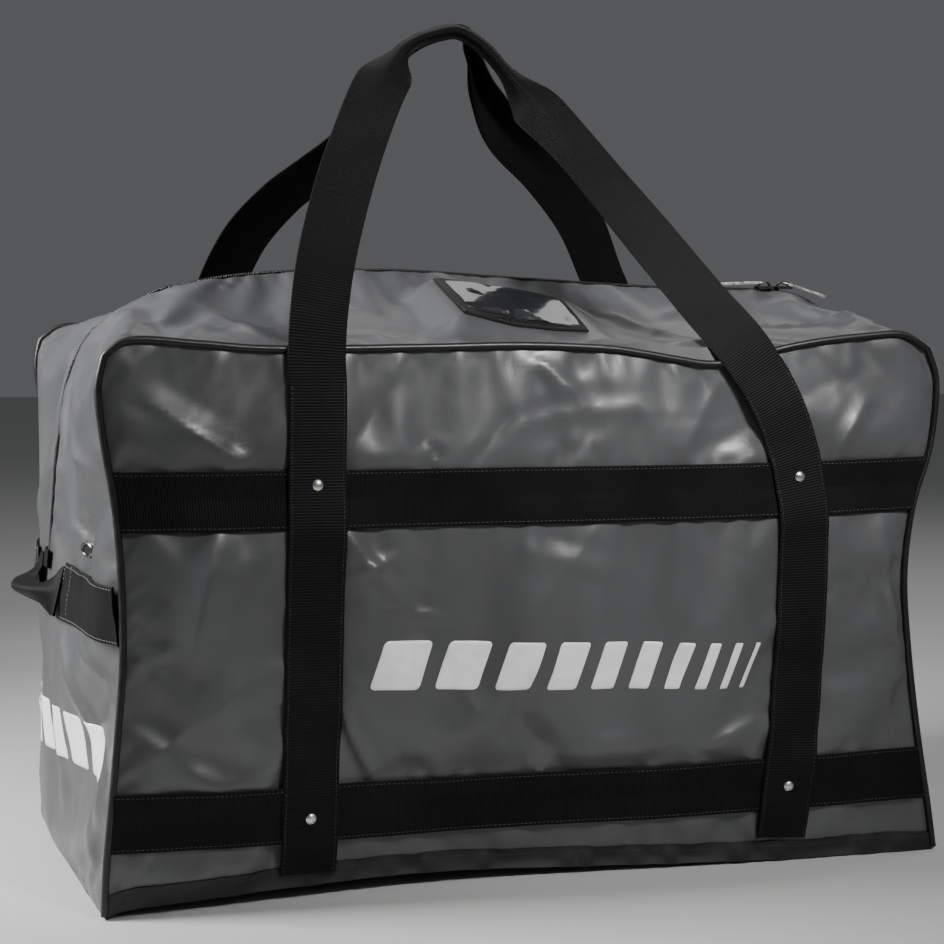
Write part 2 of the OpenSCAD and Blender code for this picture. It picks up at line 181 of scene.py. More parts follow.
FRONT_SEAM = {
    "left": [(-409, 0), (-407, 50), (-399, 140), (-393, 235), (-398, 335), (-409, 405), (-414, 448),
             (-409, 476)],
    "top": [(-409, 476), (-388, 489), (-330, 486), (-265, 482), (-136, 484), (-44, 486), (32, 484),
            (68, 480), (107, 474), (138, 470), (168, 473), (211, 484), (250, 491), (295, 496), (338, 498),
            (365, 485)],
    "right": [(365, 485), (375, 455), (371, 395), (354, 335), (348, 270), (355, 200), (368, 120),
              (384, 40), (391, 0)],
}
REAR_SEAM = {
    "left": [(-404, 0), (-402, 90), (-397, 200), (-396, 300), (-405, 400), (-411, 448), (-407, 474)],
    "top": [(-407, 474), (-385, 488), (-330, 485), (-235, 479), (-130, 484), (0, 486), (130, 483),
            (235, 477), (330, 486), (380, 488), (402, 474)],
    "right": [(402, 474), (407, 448), (401, 390), (388, 300), (386, 210), (395, 100), (402, 0)],
}
MIDDLE = {
    "left": [(-416, 0), (-423, 80), (-428, 170), (-428, 260), (-424, 340), (-418, 400), (-408, 455),
             (-388, 492)],
    "top": [(-388, 492), (-360, 511), (-331, 528), (-305, 535), (-258, 544), (-189, 550), (-90, 552),
            (34, 546), (164, 540), (250, 539), (300, 538), (330, 535), (354, 527), (384, 508)],
    "right": [(384, 508), (404, 470), (412, 410), (409, 340), (404, 270), (407, 180), (406, 90),
              (402, 0)],
}
SIDE_STEPS, TOP_STEPS, DEPTH_STEPS = 52, 88, 48


def seam_path(parts, y):
    """The three stretches of one seam, as points in metres."""
    steps = {"left": SIDE_STEPS, "top": TOP_STEPS, "right": SIDE_STEPS}
    out = {}
    for k, v in parts.items():
        line = smooth_path(np.array(v, float) * MM, steps[k])
        out[k] = np.stack([line[:, 0], np.full(len(line), y), line[:, 1]], 1)
    return out


def joined(parts):
    return np.vstack([parts["left"], parts["top"][1:], parts["right"][1:]])


def bulge_shape(a, power):
    return 1 - np.abs(2 * a - 1) ** power


seams = {"front": seam_path(FRONT_SEAM, -HALF_DEPTH), "rear": seam_path(REAR_SEAM, HALF_DEPTH)}
middle = seam_path(MIDDLE, 0)
FOOT_CURL, FOOT_LIFT, FOOT_RISE = 0.022, 0.010, 0.009
BULGE = 0.015


def foot_line(face):
    """The foot of a panel: it curls under a little between its corners."""
    a, b = seams[face]["left"][0], seams[face]["right"][-1]
    u = np.linspace(0, 1, TOP_STEPS + 1)
    line = a + (b - a) * u[:, None]
    dip = np.sin(np.pi * u) ** 2 * (0.75 + 0.35 * np.sin(5.2 * u + 0.4))
    line[:, 1] -= FACES[face] * FOOT_CURL * dip
    line[:, 2] += FOOT_LIFT * dip + FOOT_RISE * np.sin(np.pi * np.clip(u / 0.5, 0, 1) ** 0.45)
    return line


foot = {face: foot_line(face) for face in FACES}


def panel_grid(face):
    """Points [rows up][columns along] of a panel stretched inside its seam, bulging outwards."""
    bottom, top = foot[face], seams[face]["top"]
    left, right = seams[face]["left"], seams[face]["right"][::-1]
    u = np.linspace(0, 1, TOP_STEPS + 1)[None, :, None]
    v = np.linspace(0, 1, SIDE_STEPS + 1)[:, None, None]
    corners = ((1 - u) * (1 - v) * left[0] + u * (1 - v) * right[0]
               + (1 - u) * v * left[-1] + u * v * right[-1])
    g = ((1 - v) * bottom[None] + v * top[None] + (1 - u) * left[:, None] + u * right[:, None]) - corners
    g[..., 1] += FACES[face] * BULGE * (bulge_shape(u, 3) * np.sin(np.pi * v ** 1.45))[..., 0]
    return g


def gusset_grid():
    """Points [along the seam][front to rear]: up the left end, over the top and down the right end."""
    f, r, m = joined(seams["front"]), joined(seams["rear"]), joined(middle)
    t = np.linspace(0, 1, DEPTH_STEPS + 1)[None, :, None]
    share = np.concatenate([np.zeros(SIDE_STEPS), np.ones(TOP_STEPS + 1), np.zeros(SIDE_STEPS)])
    share = np.convolve(np.pad(share, 8, mode="edge"), np.ones(17) / 17, mode="valid")[:, None, None]
    h = share * bulge_shape(t, 1.35) + (1 - share) * bulge_shape(t, 1.6)
    return f[:, None] * (1 - t) + r[:, None] * t + (m - (f + r) / 2)[:, None] * h


def base_grid(left_edge, right_edge):
    """Points [front to rear][along] of the base, which meets both panels' feet and the ends."""
    t = np.linspace(0, 1, DEPTH_STEPS + 1)[:, None, None]
    g = foot["front"][None] * (1 - t) + foot["rear"][None] * t
    u = np.linspace(0, 1, TOP_STEPS + 1)[None, :, None]
    g += (left_edge[:, None] - g[:, :1]) * (1 - u) ** 3 + (right_edge[:, None] - g[:, -1:]) * u ** 3
    g[..., 2] *= (1 - bulge_shape(t, 4)[..., 0] * 0.9)
    return g


# ---- one closed shell, settled as cloth ------------------------------------------------------

GRIDS = {"front": panel_grid("front"), "rear": panel_grid("rear"), "gusset": gusset_grid()}
GRIDS["base"] = base_grid(GRIDS["gusset"][0], GRIDS["gusset"][-1])
FLIPS = {"front": False, "rear": True, "gusset": True, "base": True}


def weld(grids):
    """All grid points as one list without doubles, and each grid's indices into it."""
    points, index, seen = [], {}, {}
    for name, g in grids.items():
        ids = np.zeros(g.shape[:2], int)
        for r in range(g.shape[0]):
            for c in range(g.shape[1]):
                key = tuple(np.round(g[r, c] * 20000).astype(int))
                if key not in seen:
                    seen[key] = len(points)
                    points.append(g[r, c])
                ids[r, c] = seen[key]
        index[name] = ids
    return np.array(points), index


shell_points, shell_index = weld(GRIDS)


def held_share(x, z, reach, top):
    """How much the sewn webbing holds a panel's fabric within reach of it; straps hold below top."""
    strap = np.exp(-((np.abs(x) - STRAP_X) / reach) ** 4) * (z < top)
    bands = [np.exp(-((z - level) / (reach + 0.002)) ** 4) for level in BAND_Z.values()]
    return np.maximum(strap, np.maximum(*bands))


def hold_weights():
    """How firmly each point is held: seams, zip line, foot and the sewn webbing hold the fabric."""
    w = np.zeros(len(shell_points))
    for face in FACES:
        ids = shell_index[face]
        p = shell_points[ids]
        w[ids] = np.maximum(w[ids], 0.55 * held_share(p[..., 0], p[..., 2], 0.022, 0.40))
        for edge in (ids[0], ids[-1], ids[:, 0], ids[:, -1]):
            w[edge] = 1
    gusset = shell_index["gusset"]
    zip_ids = gusset[:, DEPTH_STEPS // 2]
    w[zip_ids[shell_points[zip_ids][:, 2] > ZIP_FOOT_Z]] = 1
    w[gusset[:, [0, -1]]] = 1
    w[shell_index["base"]] = 1
    return w


CLOTH_FRAMES = 24
CLOTH_CAP = 0.020
CLOTH = {"quality": 6, "mass": 0.35, "tension_stiffness": 30, "compression_stiffness": 30,
         "shear_stiffness": 12, "bending_stiffness": 6, "air_damping": 3, "vertex_group_mass": "hold",
         "pin_stiffness": 1, "shrink_min": -0.012, "use_pressure": True, "uniform_pressure_force": 0.35}


def settle(points, faces, weights):
    """The shell after a short cloth simulation: slack fabric held at its seams, under a little air."""
    obj = new_mesh("cloth_work", points, faces)
    group = obj.vertex_groups.new(name="hold")
    for i, w in enumerate(weights):
        if w > 0:
            group.add([i], float(w), "REPLACE")
    mod = obj.modifiers.new("cloth", "CLOTH")
    for name, value in CLOTH.items():
        setattr(mod.settings, name, value)
    mod.settings.effector_weights.gravity = 0.25
    mod.collision_settings.use_collision = False
    scene = bpy.context.scene
    for f in range(1, CLOTH_FRAMES + 1):
        scene.frame_set(f)
        obj.evaluated_get(bpy.context.evaluated_depsgraph_get())
    mesh = obj.evaluated_get(bpy.context.evaluated_depsgraph_get()).to_mesh()
    out = np.zeros(len(points) * 3)
    mesh.vertices.foreach_get("co", out)
    out = out.reshape(-1, 3)
    bpy.data.objects.remove(obj)
    scene.frame_set(1)
    move = out - points
    far = np.linalg.norm(move, axis=1, keepdims=True)
    return points + move * np.minimum(1, CLOTH_CAP / np.maximum(far, 1e-9))


def refine(g):
    """The grid with twice as many cells each way, on smooth curves through its points."""
    return np.swapaxes(curve_through(np.swapaxes(curve_through(g, 2), 0, 1), 2), 0, 1)


def grid_normals(g, flip=False):
    """Unit normals of a grid of points."""
    n = unit(np.cross(np.gradient(g, axis=1), np.gradient(g, axis=0)))
    return -n if flip else n


def unrolled(g):
    """Flat coordinates of a grid's points in metres: distance along its rows and along its columns."""
    along, up = distances(g.mean(0)), distances(g.mean(1))
    return np.broadcast_to(along[None, :], g.shape[:2]), np.broadcast_to(up[:, None], g.shape[:2])


def creases(u, v, count, seed, lengths, widths, depths):
    """Height of scattered soft folds: each a pointed ridge or valley that fades towards its tips."""
    rng = np.random.default_rng(seed)
    h = np.zeros(u.shape)
    for _ in range(count):
        cu = rng.uniform(u.min(), u.max())
        cv = rng.uniform(v.min(), v.max())
        a = rng.uniform(0, math.pi)
        half = rng.uniform(*lengths)
        wide = rng.uniform(*widths)
        amp = rng.uniform(*depths) * rng.choice([-1, 1])
        bend = rng.uniform(-1.2, 1.2)
        q = (u - cu) * math.cos(a) + (v - cv) * math.sin(a)
        d = (v - cv) * math.cos(a) - (u - cu) * math.sin(a) + bend * q * q
        h += amp * np.clip(1 - np.abs(d) / wide, 0, 1) ** 1.6 * np.clip(1 - (q / half) ** 2, 0, 1) ** 2
    return h


def edge_fade(u, v, margin):
    near = np.minimum(np.minimum(u - u.min(), u.max() - u), np.minimum(v - v.min(), v.max() - v))
    return np.clip(near / margin, 0, 1) ** 1.5


# Scattered folds on each face: how many, seed, half lengths, half widths and heights in metres.
CREASES = {
    "front": [(30, 3, (0.06, 0.16), (0.012, 0.040), (0.0012, 0.0044)),
              (60, 4, (0.02, 0.06), (0.006, 0.014), (0.0003, 0.0010))],
    "rear": [(26, 13, (0.06, 0.16), (0.014, 0.045), (0.0010, 0.0034)),
             (60, 14, (0.02, 0.06), (0.006, 0.014), (0.0003, 0.0010))],
    "gusset": [(60, 23, (0.05, 0.15), (0.012, 0.040), (0.0010, 0.0034)),
               (110, 24, (0.02, 0.06), (0.006, 0.014), (0.0003, 0.0011))],
    "base": [(20, 33, (0.05, 0.15), (0.02, 0.05), (0.0005, 0.0015))],
}

# Single folds: two end points in mm, half width and height in mm.
FRONT_FOLDS = [                                             # x, z on the front panel
    ((-396, 216), (-352, 230), 11, 6), ((-376, 438), (-296, 388), 24, 6), ((-318, 330), (-336, 228), 30, 9),
    ((-206, 324), (-150, 260), 13, 6), ((-200, 288), (-160, 303), 9, 4), ((322, 294), (339, 196), 16, 7),
    ((-204, 168), (-170, 102), 11, 5), ((296, 436), (262, 386), 16, 5), ((-10, 116), (110, 124), 20, 4),
    ((-28, 473), (16, 434), 16, 5), ((-92, 382), (-56, 424), 15, -4), ((-374, 135), (-298, 192), 30, 7),
    ((-166, 258), (-110, 246), 10, 4), ((110, 390), (150, 455), 20, 4), ((-40, 306), (40, 286), 20, 3),
    ((130, 112), (192, 138), 18, 5), ((330, 160), (350, 100), 14, 5), ((-100, 190), (-60, 120), 24, 5),
]
TOP_FOLDS = [                                               # x, y on the top
    ((246, -92), (366, -118), 6, 4), ((-300, -60), (-250, -170), 22, 5), ((-120, -170), (-60, -175), 14, 4),
    ((110, -60), (150, -160), 20, 5),
]
END_FOLDS = [                                               # y, z on the left end
    ((-66, 214), (-190, 84), 16, 6), ((-108, 228), (-192, 180), 12, 4), ((-80, 402), (-172, 378), 15, 5),
    ((-40, 190), (-60, 60), 20, 5), ((60, 200), (120, 70), 22, 5),
]


def placed_folds(a, b, folds):
    """Height of single folds on a face with flat coordinates a and b in metres."""
    h = np.zeros(a.shape)
    for (a0, b0), (a1, b1), width, height in folds:
        da, db = (a1 - a0) * MM, (b1 - b0) * MM
        t = ((a - a0 * MM) * da + (b - b0 * MM) * db) / (da * da + db * db)
        near = np.clip(t, 0, 1)
        d = np.hypot(a - a0 * MM - near * da, b - b0 * MM - near * db)
        taper = np.clip(1 - (2 * np.clip(t, -0.2, 1.2) - 1) ** 2 * 0.5, 0, 1)
        h += height * MM * np.clip(1 - d / (width * MM), 0, 1) ** 1.5 * taper
    return h


def finished_grid(name, g):
    g = refine(g)
    u, v = unrolled(g)
    x, y, z = g[..., 0], g[..., 1], g[..., 2]
    folds = 0
    if name == "front":
        folds = placed_folds(x, z, FRONT_FOLDS)
    if name == "gusset":
        folds = placed_folds(x, y, TOP_FOLDS) * (z > 0.47) + placed_folds(y, z, END_FOLDS) * (x < -0.39)
    h = sum(creases(u, v, *settings) for settings in CREASES[name]) * edge_fade(u, v, 0.035)
    h = h + folds * edge_fade(u, v, 0.012)
    if name == "gusset":
        h = h * np.clip((np.abs(y) - 0.012) / 0.03, 0, 1)
    if name in FACES:
        h = h * (1 - 0.75 * held_share(x, z, 0.026, 0.42))
    n = grid_normals(g, FLIPS[name])
    return g + n * h[..., None]


shell_faces = np.vstack([quads(ids, FLIPS[name]) for name, ids in shell_index.items()])
settled = settle(shell_points, shell_faces, hold_weights())
GRIDS = {name: finished_grid(name, settled[ids]) for name, ids in shell_index.items()}
NORMALS = {name: grid_normals(g, FLIPS[name]) for name, g in GRIDS.items()}

# ---- materials -------------------------------------------------------------------------------


class Nodes:
    """A material's nodes, with short calls to add and join them."""

    def __init__(self, name, colour, rough, metal=0.0, coat=0.0, sheen=0.0, specular=0.5):
        self.mat = bpy.data.materials.new(name)
        self.mat.use_nodes = True
        self.tree = self.mat.node_tree
        self.bsdf = self.tree.nodes["Principled BSDF"]
        self.colour = colour
        self.surface({"Base Color": (*colour, 1), "Roughness": rough, "Metallic": metal,
                      "Coat Weight": coat, "Coat Roughness": 0.25, "Sheen Weight": sheen,
                      "Sheen Roughness": 0.4, "Specular IOR Level": specular})

    def surface(self, values):
        """Sets even values on the shader."""
        for socket, value in values.items():
            self.bsdf.inputs[socket].default_value = value

    def add(self, kind, **values):
        node = self.tree.nodes.new("ShaderNode" + kind)
        for k, v in values.items():
            if k in node.inputs:
                node.inputs[k].default_value = v
            else:
                setattr(node, k, v)
        return node

    def join(self, a, out, b, into):
        self.tree.links.new(a.outputs[out], b.inputs[into])

    def noise(self, scale, detail=3, rough=0.55, stretch=(1, 1, 1)):
        """Noise in the object's own space, scale features a metre, stretched on each axis."""
        m = self.add("Mapping", Scale=stretch)
        self.join(self.add("TexCoord"), "Object", m, "Vector")
        n = self.add("TexNoise", Scale=scale, Detail=detail, Roughness=rough)
        self.join(m, "Vector", n, "Vector")
        return n

    def ramp(self, source, low, high, a=0.35, b=0.65):
        """Values from low to high while the source goes from a to b."""
        r = self.add("MapRange")
        for socket, value in (("From Min", a), ("From Max", b), ("To Min", low), ("To Max", high)):
            r.inputs[socket].default_value = value
        self.join(source, "Fac", r, "Value")
        return r

    def tint(self, source, dark, light):
        """Base colour between two brightnesses of the material's own colour."""
        m = self.add("Mix")
        m.data_type = "RGBA"
        m.inputs["A"].default_value = (*[c * dark for c in self.colour], 1)
        m.inputs["B"].default_value = (*[c * light for c in self.colour], 1)
        self.join(self.ramp(source, 0, 1), "Result", m, "Factor")
        self.join(m, "Result", self.bsdf, "Base Color")

    def roughen(self, source, low, high, a=0.35, b=0.65):
        self.join(self.ramp(source, low, high, a, b), "Result", self.bsdf, "Roughness")

    def bump(self, source, strength, distance, under=None, out="Fac"):
        b = self.add("Bump", Strength=strength, Distance=distance)
        self.join(source, out, b, "Height")
        if under is not None:
            self.join(under, "Normal", b, "Normal")
        self.join(b, "Normal", self.bsdf, "Normal")
        return b

    def uv_wave(self, pitch, axis):
        """Waves of the given pitch in metres along the U (X) or V (Y) of a piece's own cloth."""
        w = self.add("TexWave", Scale=2 * math.pi / (20 * pitch), Distortion=0.0, Detail=0.0,
                     wave_type="BANDS", bands_direction=axis, wave_profile="SIN")
        self.join(self.add("TexCoord"), "UV", w, "Vector")
        return w


def tarpaulin(name, colour, rough, coat):
    """Coated cloth: patches of shade and sheen, a soft crumple and the weave showing through."""
    m = Nodes(name, colour, rough, coat=coat, specular=0.5)
    m.tint(m.noise(5, 4), 0.84, 1.16)
    m.roughen(m.noise(14, 3, stretch=(1, 1, 0.5)), rough - 0.07, rough + 0.09)
    cross = m.add("Math", operation="MULTIPLY")
    for k, axis in enumerate("XY"):
        m.join(m.uv_wave(0.0011, axis), "Fac", cross, k)
    crumple = m.bump(m.noise(38, 4), 0.35, 0.0012)
    m.bump(cross, 0.25, 0.00012, under=crumple, out="Value")
    return m.mat


def woven(name, colour, pitch_u, pitch_v, rough, depth, sheen=0.3):
    """Ribbed webbing or tape: ribs across it and finer threads along it."""
    m = Nodes(name, colour, rough, sheen=sheen, specular=0.13)
    rib = m.uv_wave(pitch_u, "X")
    m.tint(m.noise(9, 3), 0.75, 1.35)
    fuzz = m.bump(m.noise(900, 2), 0.2, 0.0003)
    thread = m.bump(m.uv_wave(pitch_v, "Y"), 0.3, depth * 0.4, under=fuzz)
    m.bump(rib, 0.7, depth, under=thread)
    m.roughen(rib, rough + 0.1, rough - 0.08, 0, 1)
    return m.mat


def metal(name, colour, rough, scratch):
    """Plated metal with fine scratches along its length."""
    m = Nodes(name, colour, rough, metal=1.0)
    scratches = m.noise(300, stretch=(1, 0.15, 1))
    m.roughen(scratches, rough - 0.06, rough + 0.14)
    m.bump(scratches, scratch, 0.0002)
    return m.mat


def plastic(name, colour, rough, coat=0.0):
    """Moulded plastic, vinyl cord or thread with a slightly uneven surface."""
    m = Nodes(name, colour, rough, coat=coat)
    grain = m.noise(120)
    m.roughen(grain, rough - 0.05, rough + 0.1)
    m.bump(grain, 0.15, 0.0003)
    return m.mat


def clear_vinyl():
    m = Nodes("clear_vinyl", (0.03, 0.032, 0.034), 0.08, coat=1.0, specular=0.8)
    m.surface({"Coat Roughness": 0.03, "Alpha": 0.55})
    m.bump(m.noise(30, 3), 0.12, 0.0015)
    return m.mat


def print_ink():
    m = Nodes("white_print", (0.86, 0.86, 0.85), 0.42, coat=0.2)
    n = m.noise(60, 4)
    m.tint(n, 0.93, 1.03)
    m.bump(n, 0.2, 0.0004)
    return m.mat


MAT = {
    "fabric": tarpaulin("grey_tarpaulin", (0.066, 0.067, 0.069), 0.41, 0.2),
    "lining": tarpaulin("tarpaulin_inside", (0.055, 0.056, 0.058), 0.6, 0.0),
    "base": tarpaulin("black_tarpaulin", (0.005, 0.005, 0.0055), 0.6, 0.0),
    "webbing": woven("black_webbing", (0.0042, 0.0042, 0.0045), 0.0025, 0.0012, 0.6, 0.0005, 0.03),
    "tape": woven("woven_tape", (0.006, 0.006, 0.0065), 0.0012, 0.0009, 0.65, 0.0002, 0.05),
    "binding": woven("binding_tape", (0.006, 0.006, 0.006), 0.0014, 0.0010, 0.6, 0.00025, 0.05),
    "piping": plastic("piping_vinyl", (0.004, 0.004, 0.0045), 0.42, 0.1),
    "teeth": plastic("nylon_teeth", (0.014, 0.014, 0.015), 0.32),
    "slider": plastic("black_enamel", (0.012, 0.012, 0.013), 0.28, 0.6),
    "nickel": metal("bright_nickel", (0.80, 0.79, 0.77), 0.3, 0.03),
    "gunmetal": metal("dark_nickel", (0.16, 0.16, 0.165), 0.22, 0.1),
    "rivet": metal("dull_nickel", (0.74, 0.72, 0.67), 0.32, 0.15),
    "vinyl": clear_vinyl(),
    "card": plastic("window_backing", (0.05, 0.05, 0.052), 0.35),
    "print": print_ink(),
    "thread": plastic("black_thread", (0.020, 0.020, 0.021), 0.5),
    "pale_thread": plastic("grey_thread", (0.10, 0.10, 0.10), 0.5),
    "hem": tarpaulin("hem_tarpaulin", (0.006, 0.006, 0.0065), 0.6, 0.0),
    # near-black colour of the disc inside each eyelet ring: painted shade for the dark inside of the bag
    # seen through the hole
    "hole": plastic("painted_hole_shade", (0.002, 0.002, 0.002), 0.9),
}


def dress(obj, body=ROOT, replaces=(), blend=None):
    """Attaches a piece to the body it rides on, or, where a blend is given, only fixes its place in the
    world; hides the CAD nodes it stands for.
    """
    if blend is None:
        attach(obj, body)
    else:
        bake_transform(obj)
    if replaces:
        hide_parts(*replaces)
    return obj


# ---- the skin, cut into the bag's panels -----------------------------------------------------

FABRIC_THICK = 0.0012
FOLD_Y, FOLD_Z = 0.2102, 0.4837            # the line each top half folds about
FOLD_COL = 1
MID = DEPTH_STEPS                          # the zip line's column in the refined gusset
ZIP_COLS = 1                               # columns left open on each side of the zip line
SIDE_ROWS = 2 * SIDE_STEPS
TOP_ROWS = SIDE_ROWS + 2 * TOP_STEPS


def row_at(value, line, start=0):
    return start + int(np.argmin(np.abs(line - value)))


zip_line = GRIDS["gusset"][:, MID]
corner_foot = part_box("corner_left_front")[0].z
ROW = {"foot_left": row_at(corner_foot, zip_line[:SIDE_ROWS, 2]),
       "foot_right": row_at(corner_foot, zip_line[TOP_ROWS:, 2], TOP_ROWS)}
for name, x in (("mouth_left", MOUTH_LEFT), ("mouth_right", MOUTH_RIGHT), ("middle", 0)):
    ROW[name] = row_at(x, zip_line[SIDE_ROWS:TOP_ROWS, 0], SIDE_ROWS)
LAST = GRIDS["gusset"].shape[1] - 1
FADE = {"left": ((MOUTH_LEFT, 0, 0), (MOUTH_LEFT + MOUTH_FADE, 0, 0)),
        "right": ((MOUTH_RIGHT, 0, 0), (MOUTH_RIGHT - MOUTH_FADE, 0, 0))}
MOUTH = slice(ROW["mouth_left"], ROW["mouth_right"] + 1)
MOUTH_ROWS = {"left": slice(ROW["mouth_left"], ROW["middle"] + 1),
              "right": slice(ROW["middle"], ROW["mouth_right"] + 1)}
CORNER_ROWS = {"left": slice(ROW["foot_left"], ROW["mouth_left"] + 1),
               "right": slice(ROW["mouth_right"], ROW["foot_right"] + 1)}
END_ROWS = {"left": slice(0, ROW["foot_left"] + 1), "right": slice(ROW["foot_right"], None)}


EYELET_Y, EYELET_Z = 0.125, 0.304
EYELET_TURN = 0.32                          # how far the fabric round an eyelet turns to its own face
EYELET_DENT = 0.007


def turn_eyelets():
    """The fabric round each set eyelet is dented and gathers in small folds."""
    g = GRIDS["gusset"]
    x, y, z = g[..., 0], g[..., 1], g[..., 2]
    for side in (LEFT, RIGHT):
        for face in (FRONT, REAR):
            across, up = y - face * EYELET_Y, z - EYELET_Z
            far = np.hypot(across, up)
            share = eased(np.clip((0.040 - far) / 0.026, 0, 1)) * (x * side > 0.37)
            gathers = 0.0011 * np.cos(7 * np.arctan2(up, across)) * np.exp(-((far - 0.022) / 0.009) ** 2)
            g[..., 0] += share * (-side * face * EYELET_TURN * across + side * (gathers - EYELET_DENT))


WINDOW = [(-0.074, -0.150), (0.047, -0.150), (0.054, -0.060), (-0.076, -0.060)]
WINDOW_RISE, WINDOW_FALL = 0.333, 0.131     # slopes of the sewn window: up from the front, down to +X
WINDOW_CORNER_Z = 0.543                     # height of its upper left corner
LIFT_COLS = 26


def window_height(x, y):
    return WINDOW_CORNER_Z + WINDOW_RISE * (y - WINDOW[3][1]) - WINDOW_FALL * (x - WINDOW[3][0])


def flatten_window():
    """The sewn window pulls the fabric of the front slope flat."""
    g = GRIDS["gusset"]
    x, y = g[..., 0], g[..., 1]
    margin = 0.034
    beyond_x = np.maximum(np.maximum(WINDOW[0][0] - x, x - WINDOW[2][0]), 0)
    beyond_y = np.maximum(np.maximum(WINDOW[0][1] - y, y - WINDOW[3][1]), 0)
    share = eased(np.clip(1 - np.hypot(beyond_x, beyond_y) / margin, 0, 1)) * (g[..., 2] > 0.4)
    g[..., 2] += share * (window_height(x, y) - g[..., 2])


def lift_over_fold():
    """Keeps the top halves above the line they fold about, where the strap pulls the seam down."""
    g = GRIDS["gusset"]
    rows = slice(ROW["mouth_left"] - 8, ROW["mouth_right"] + 9)
    for sign, fold, order in ((FRONT, FOLD_COL, 1), (REAR, LAST - FOLD_COL, -1)):
        short = spread(np.maximum(0, FOLD_Z + 0.0016 - g[rows, fold, 2]), 4, 0)
        for k in range(LIFT_COLS):
            g[rows, fold + order * k, 2] += short * eased(1 - k / LIFT_COLS)
        g[MOUTH, fold, 1] = sign * FOLD_Y


lift_over_fold()
flatten_window()
turn_eyelets()
NORMALS["gusset"] = grid_normals(GRIDS["gusset"], FLIPS["gusset"])
UVS = {name: np.stack(unrolled(g), -1) for name, g in GRIDS.items()}
TREES = {}
for name, g in GRIDS.items():
    tiles = grid_faces(*g.shape[:2], flip=FLIPS[name])
    TREES[name] = BVHTree.FromPolygons([tuple(p) for p in g.reshape(-1, 3)], tiles.tolist())


def sheet_piece(name, g, n, uv, flip, outer="fabric", inner="lining"):
    """A closed sheet of fabric from a grid of outer points, with its own lining colour inside."""
    rows, cols = g.shape[:2]
    count = rows * cols
    points = np.concatenate([g.reshape(-1, 3), (g - n * FABRIC_THICK).reshape(-1, 3)])
    top = grid_faces(rows, cols, flip=flip)
    under = grid_faces(rows, cols, start=count, flip=not flip)
    ids = np.arange(count).reshape(rows, cols)
    ring = np.concatenate([ids[0, :-1], ids[:-1, -1], ids[-1, :0:-1], ids[:0:-1, 0]])
    following = np.roll(ring, -1)
    rim = np.stack([following, ring, ring + count, following + count], 1)
    rim = rim[:, ::-1] if flip else rim
    flat_uv = uv.reshape(-1, 2)
    facing = np.concatenate([n.reshape(-1, 3), -n.reshape(-1, 3)])
    obj = new_mesh(name, points, np.concatenate([top, under, rim]), outer,
                   np.concatenate([flat_uv, flat_uv]), len(rim), facing)
    obj.data.materials.append(MAT[inner])
    index = np.concatenate([np.zeros(len(top), int), np.ones(len(under), int), np.zeros(len(rim), int)])
    obj.data.polygons.foreach_set("material_index", index)
    return obj


def panel_piece(name, grid, rows=slice(None), cols=slice(None), **looks):
    return sheet_piece(name, GRIDS[grid][rows, cols], NORMALS[grid][rows, cols],
                       UVS[grid][rows, cols], FLIPS[grid], **looks)


def edge_roll(name, sign):
    """The narrow edge of the top outside the fold line, with the fold itself rolled inwards."""
    cols = [0, FOLD_COL] if sign == FRONT else [LAST, LAST - FOLD_COL]
    g = GRIDS["gusset"][MOUTH][:, cols]
    reach = (g[:, 1, 2] - FOLD_Z) * 0.94
    arc = []
    for angle in np.radians([12, 30, 50, 70, 90, 110]):
        p = g[:, 1].copy()
        p[:, 1] = sign * (FOLD_Y - reach * math.sin(angle))
        p[:, 2] = FOLD_Z + reach * math.cos(angle)
        arc.append(p)
    g = np.concatenate([g, np.stack(arc, 1)], 1)
    flip = sign == REAR
    uv = np.stack(unrolled(g), -1)
    return sheet_piece(name, g, grid_normals(g, flip), uv, flip)


def make_skin():
    for face, sign in FACES.items():
        dress(panel_piece(face + "_panel_skin", face), replaces=[face + "_panel"])
        half = slice(0, MID - ZIP_COLS + 1) if sign == FRONT else slice(MID + ZIP_COLS, None)
        free = slice(FOLD_COL, half.stop) if sign == FRONT else slice(half.start, LAST - FOLD_COL + 1)
        for side in ("left", "right"):
            dress(panel_piece(f"corner_{side}_{face}_skin", "gusset", CORNER_ROWS[side], half),
                  replaces=[f"corner_{side}_{face}"])
            dress(panel_piece(f"top_{face}_{side}_skin", "gusset", MOUTH_ROWS[side], free),
                  "flap_" + face, [f"top_flap_{face}"], FADE[side])
        dress(edge_roll(f"top_edge_{face}", sign))
    for side, rows in END_ROWS.items():
        dress(panel_piece(f"end_{side}_skin", "gusset", rows),
              replaces=[f"end_panel_{side}"])
    dress(panel_piece("base_skin", "base", outer="base", inner="base"),
          replaces=["base_panel"])


make_skin()

# ---- strips, tubes and turned pieces ---------------------------------------------------------

ACROSS = np.array([-1, -0.985, -0.95, -0.8, -0.6, -0.4, -0.2, -0.08, 0, 0.08, 0.2, 0.4, 0.6, 0.8,
                   0.95, 0.985, 1])
CENTRE = len(ACROSS) // 2
EDGE_ROUND = np.where(np.abs(ACROSS) > 0.99, 0.4, np.where(np.abs(ACROSS) > 0.97, 0.82, 1.0))


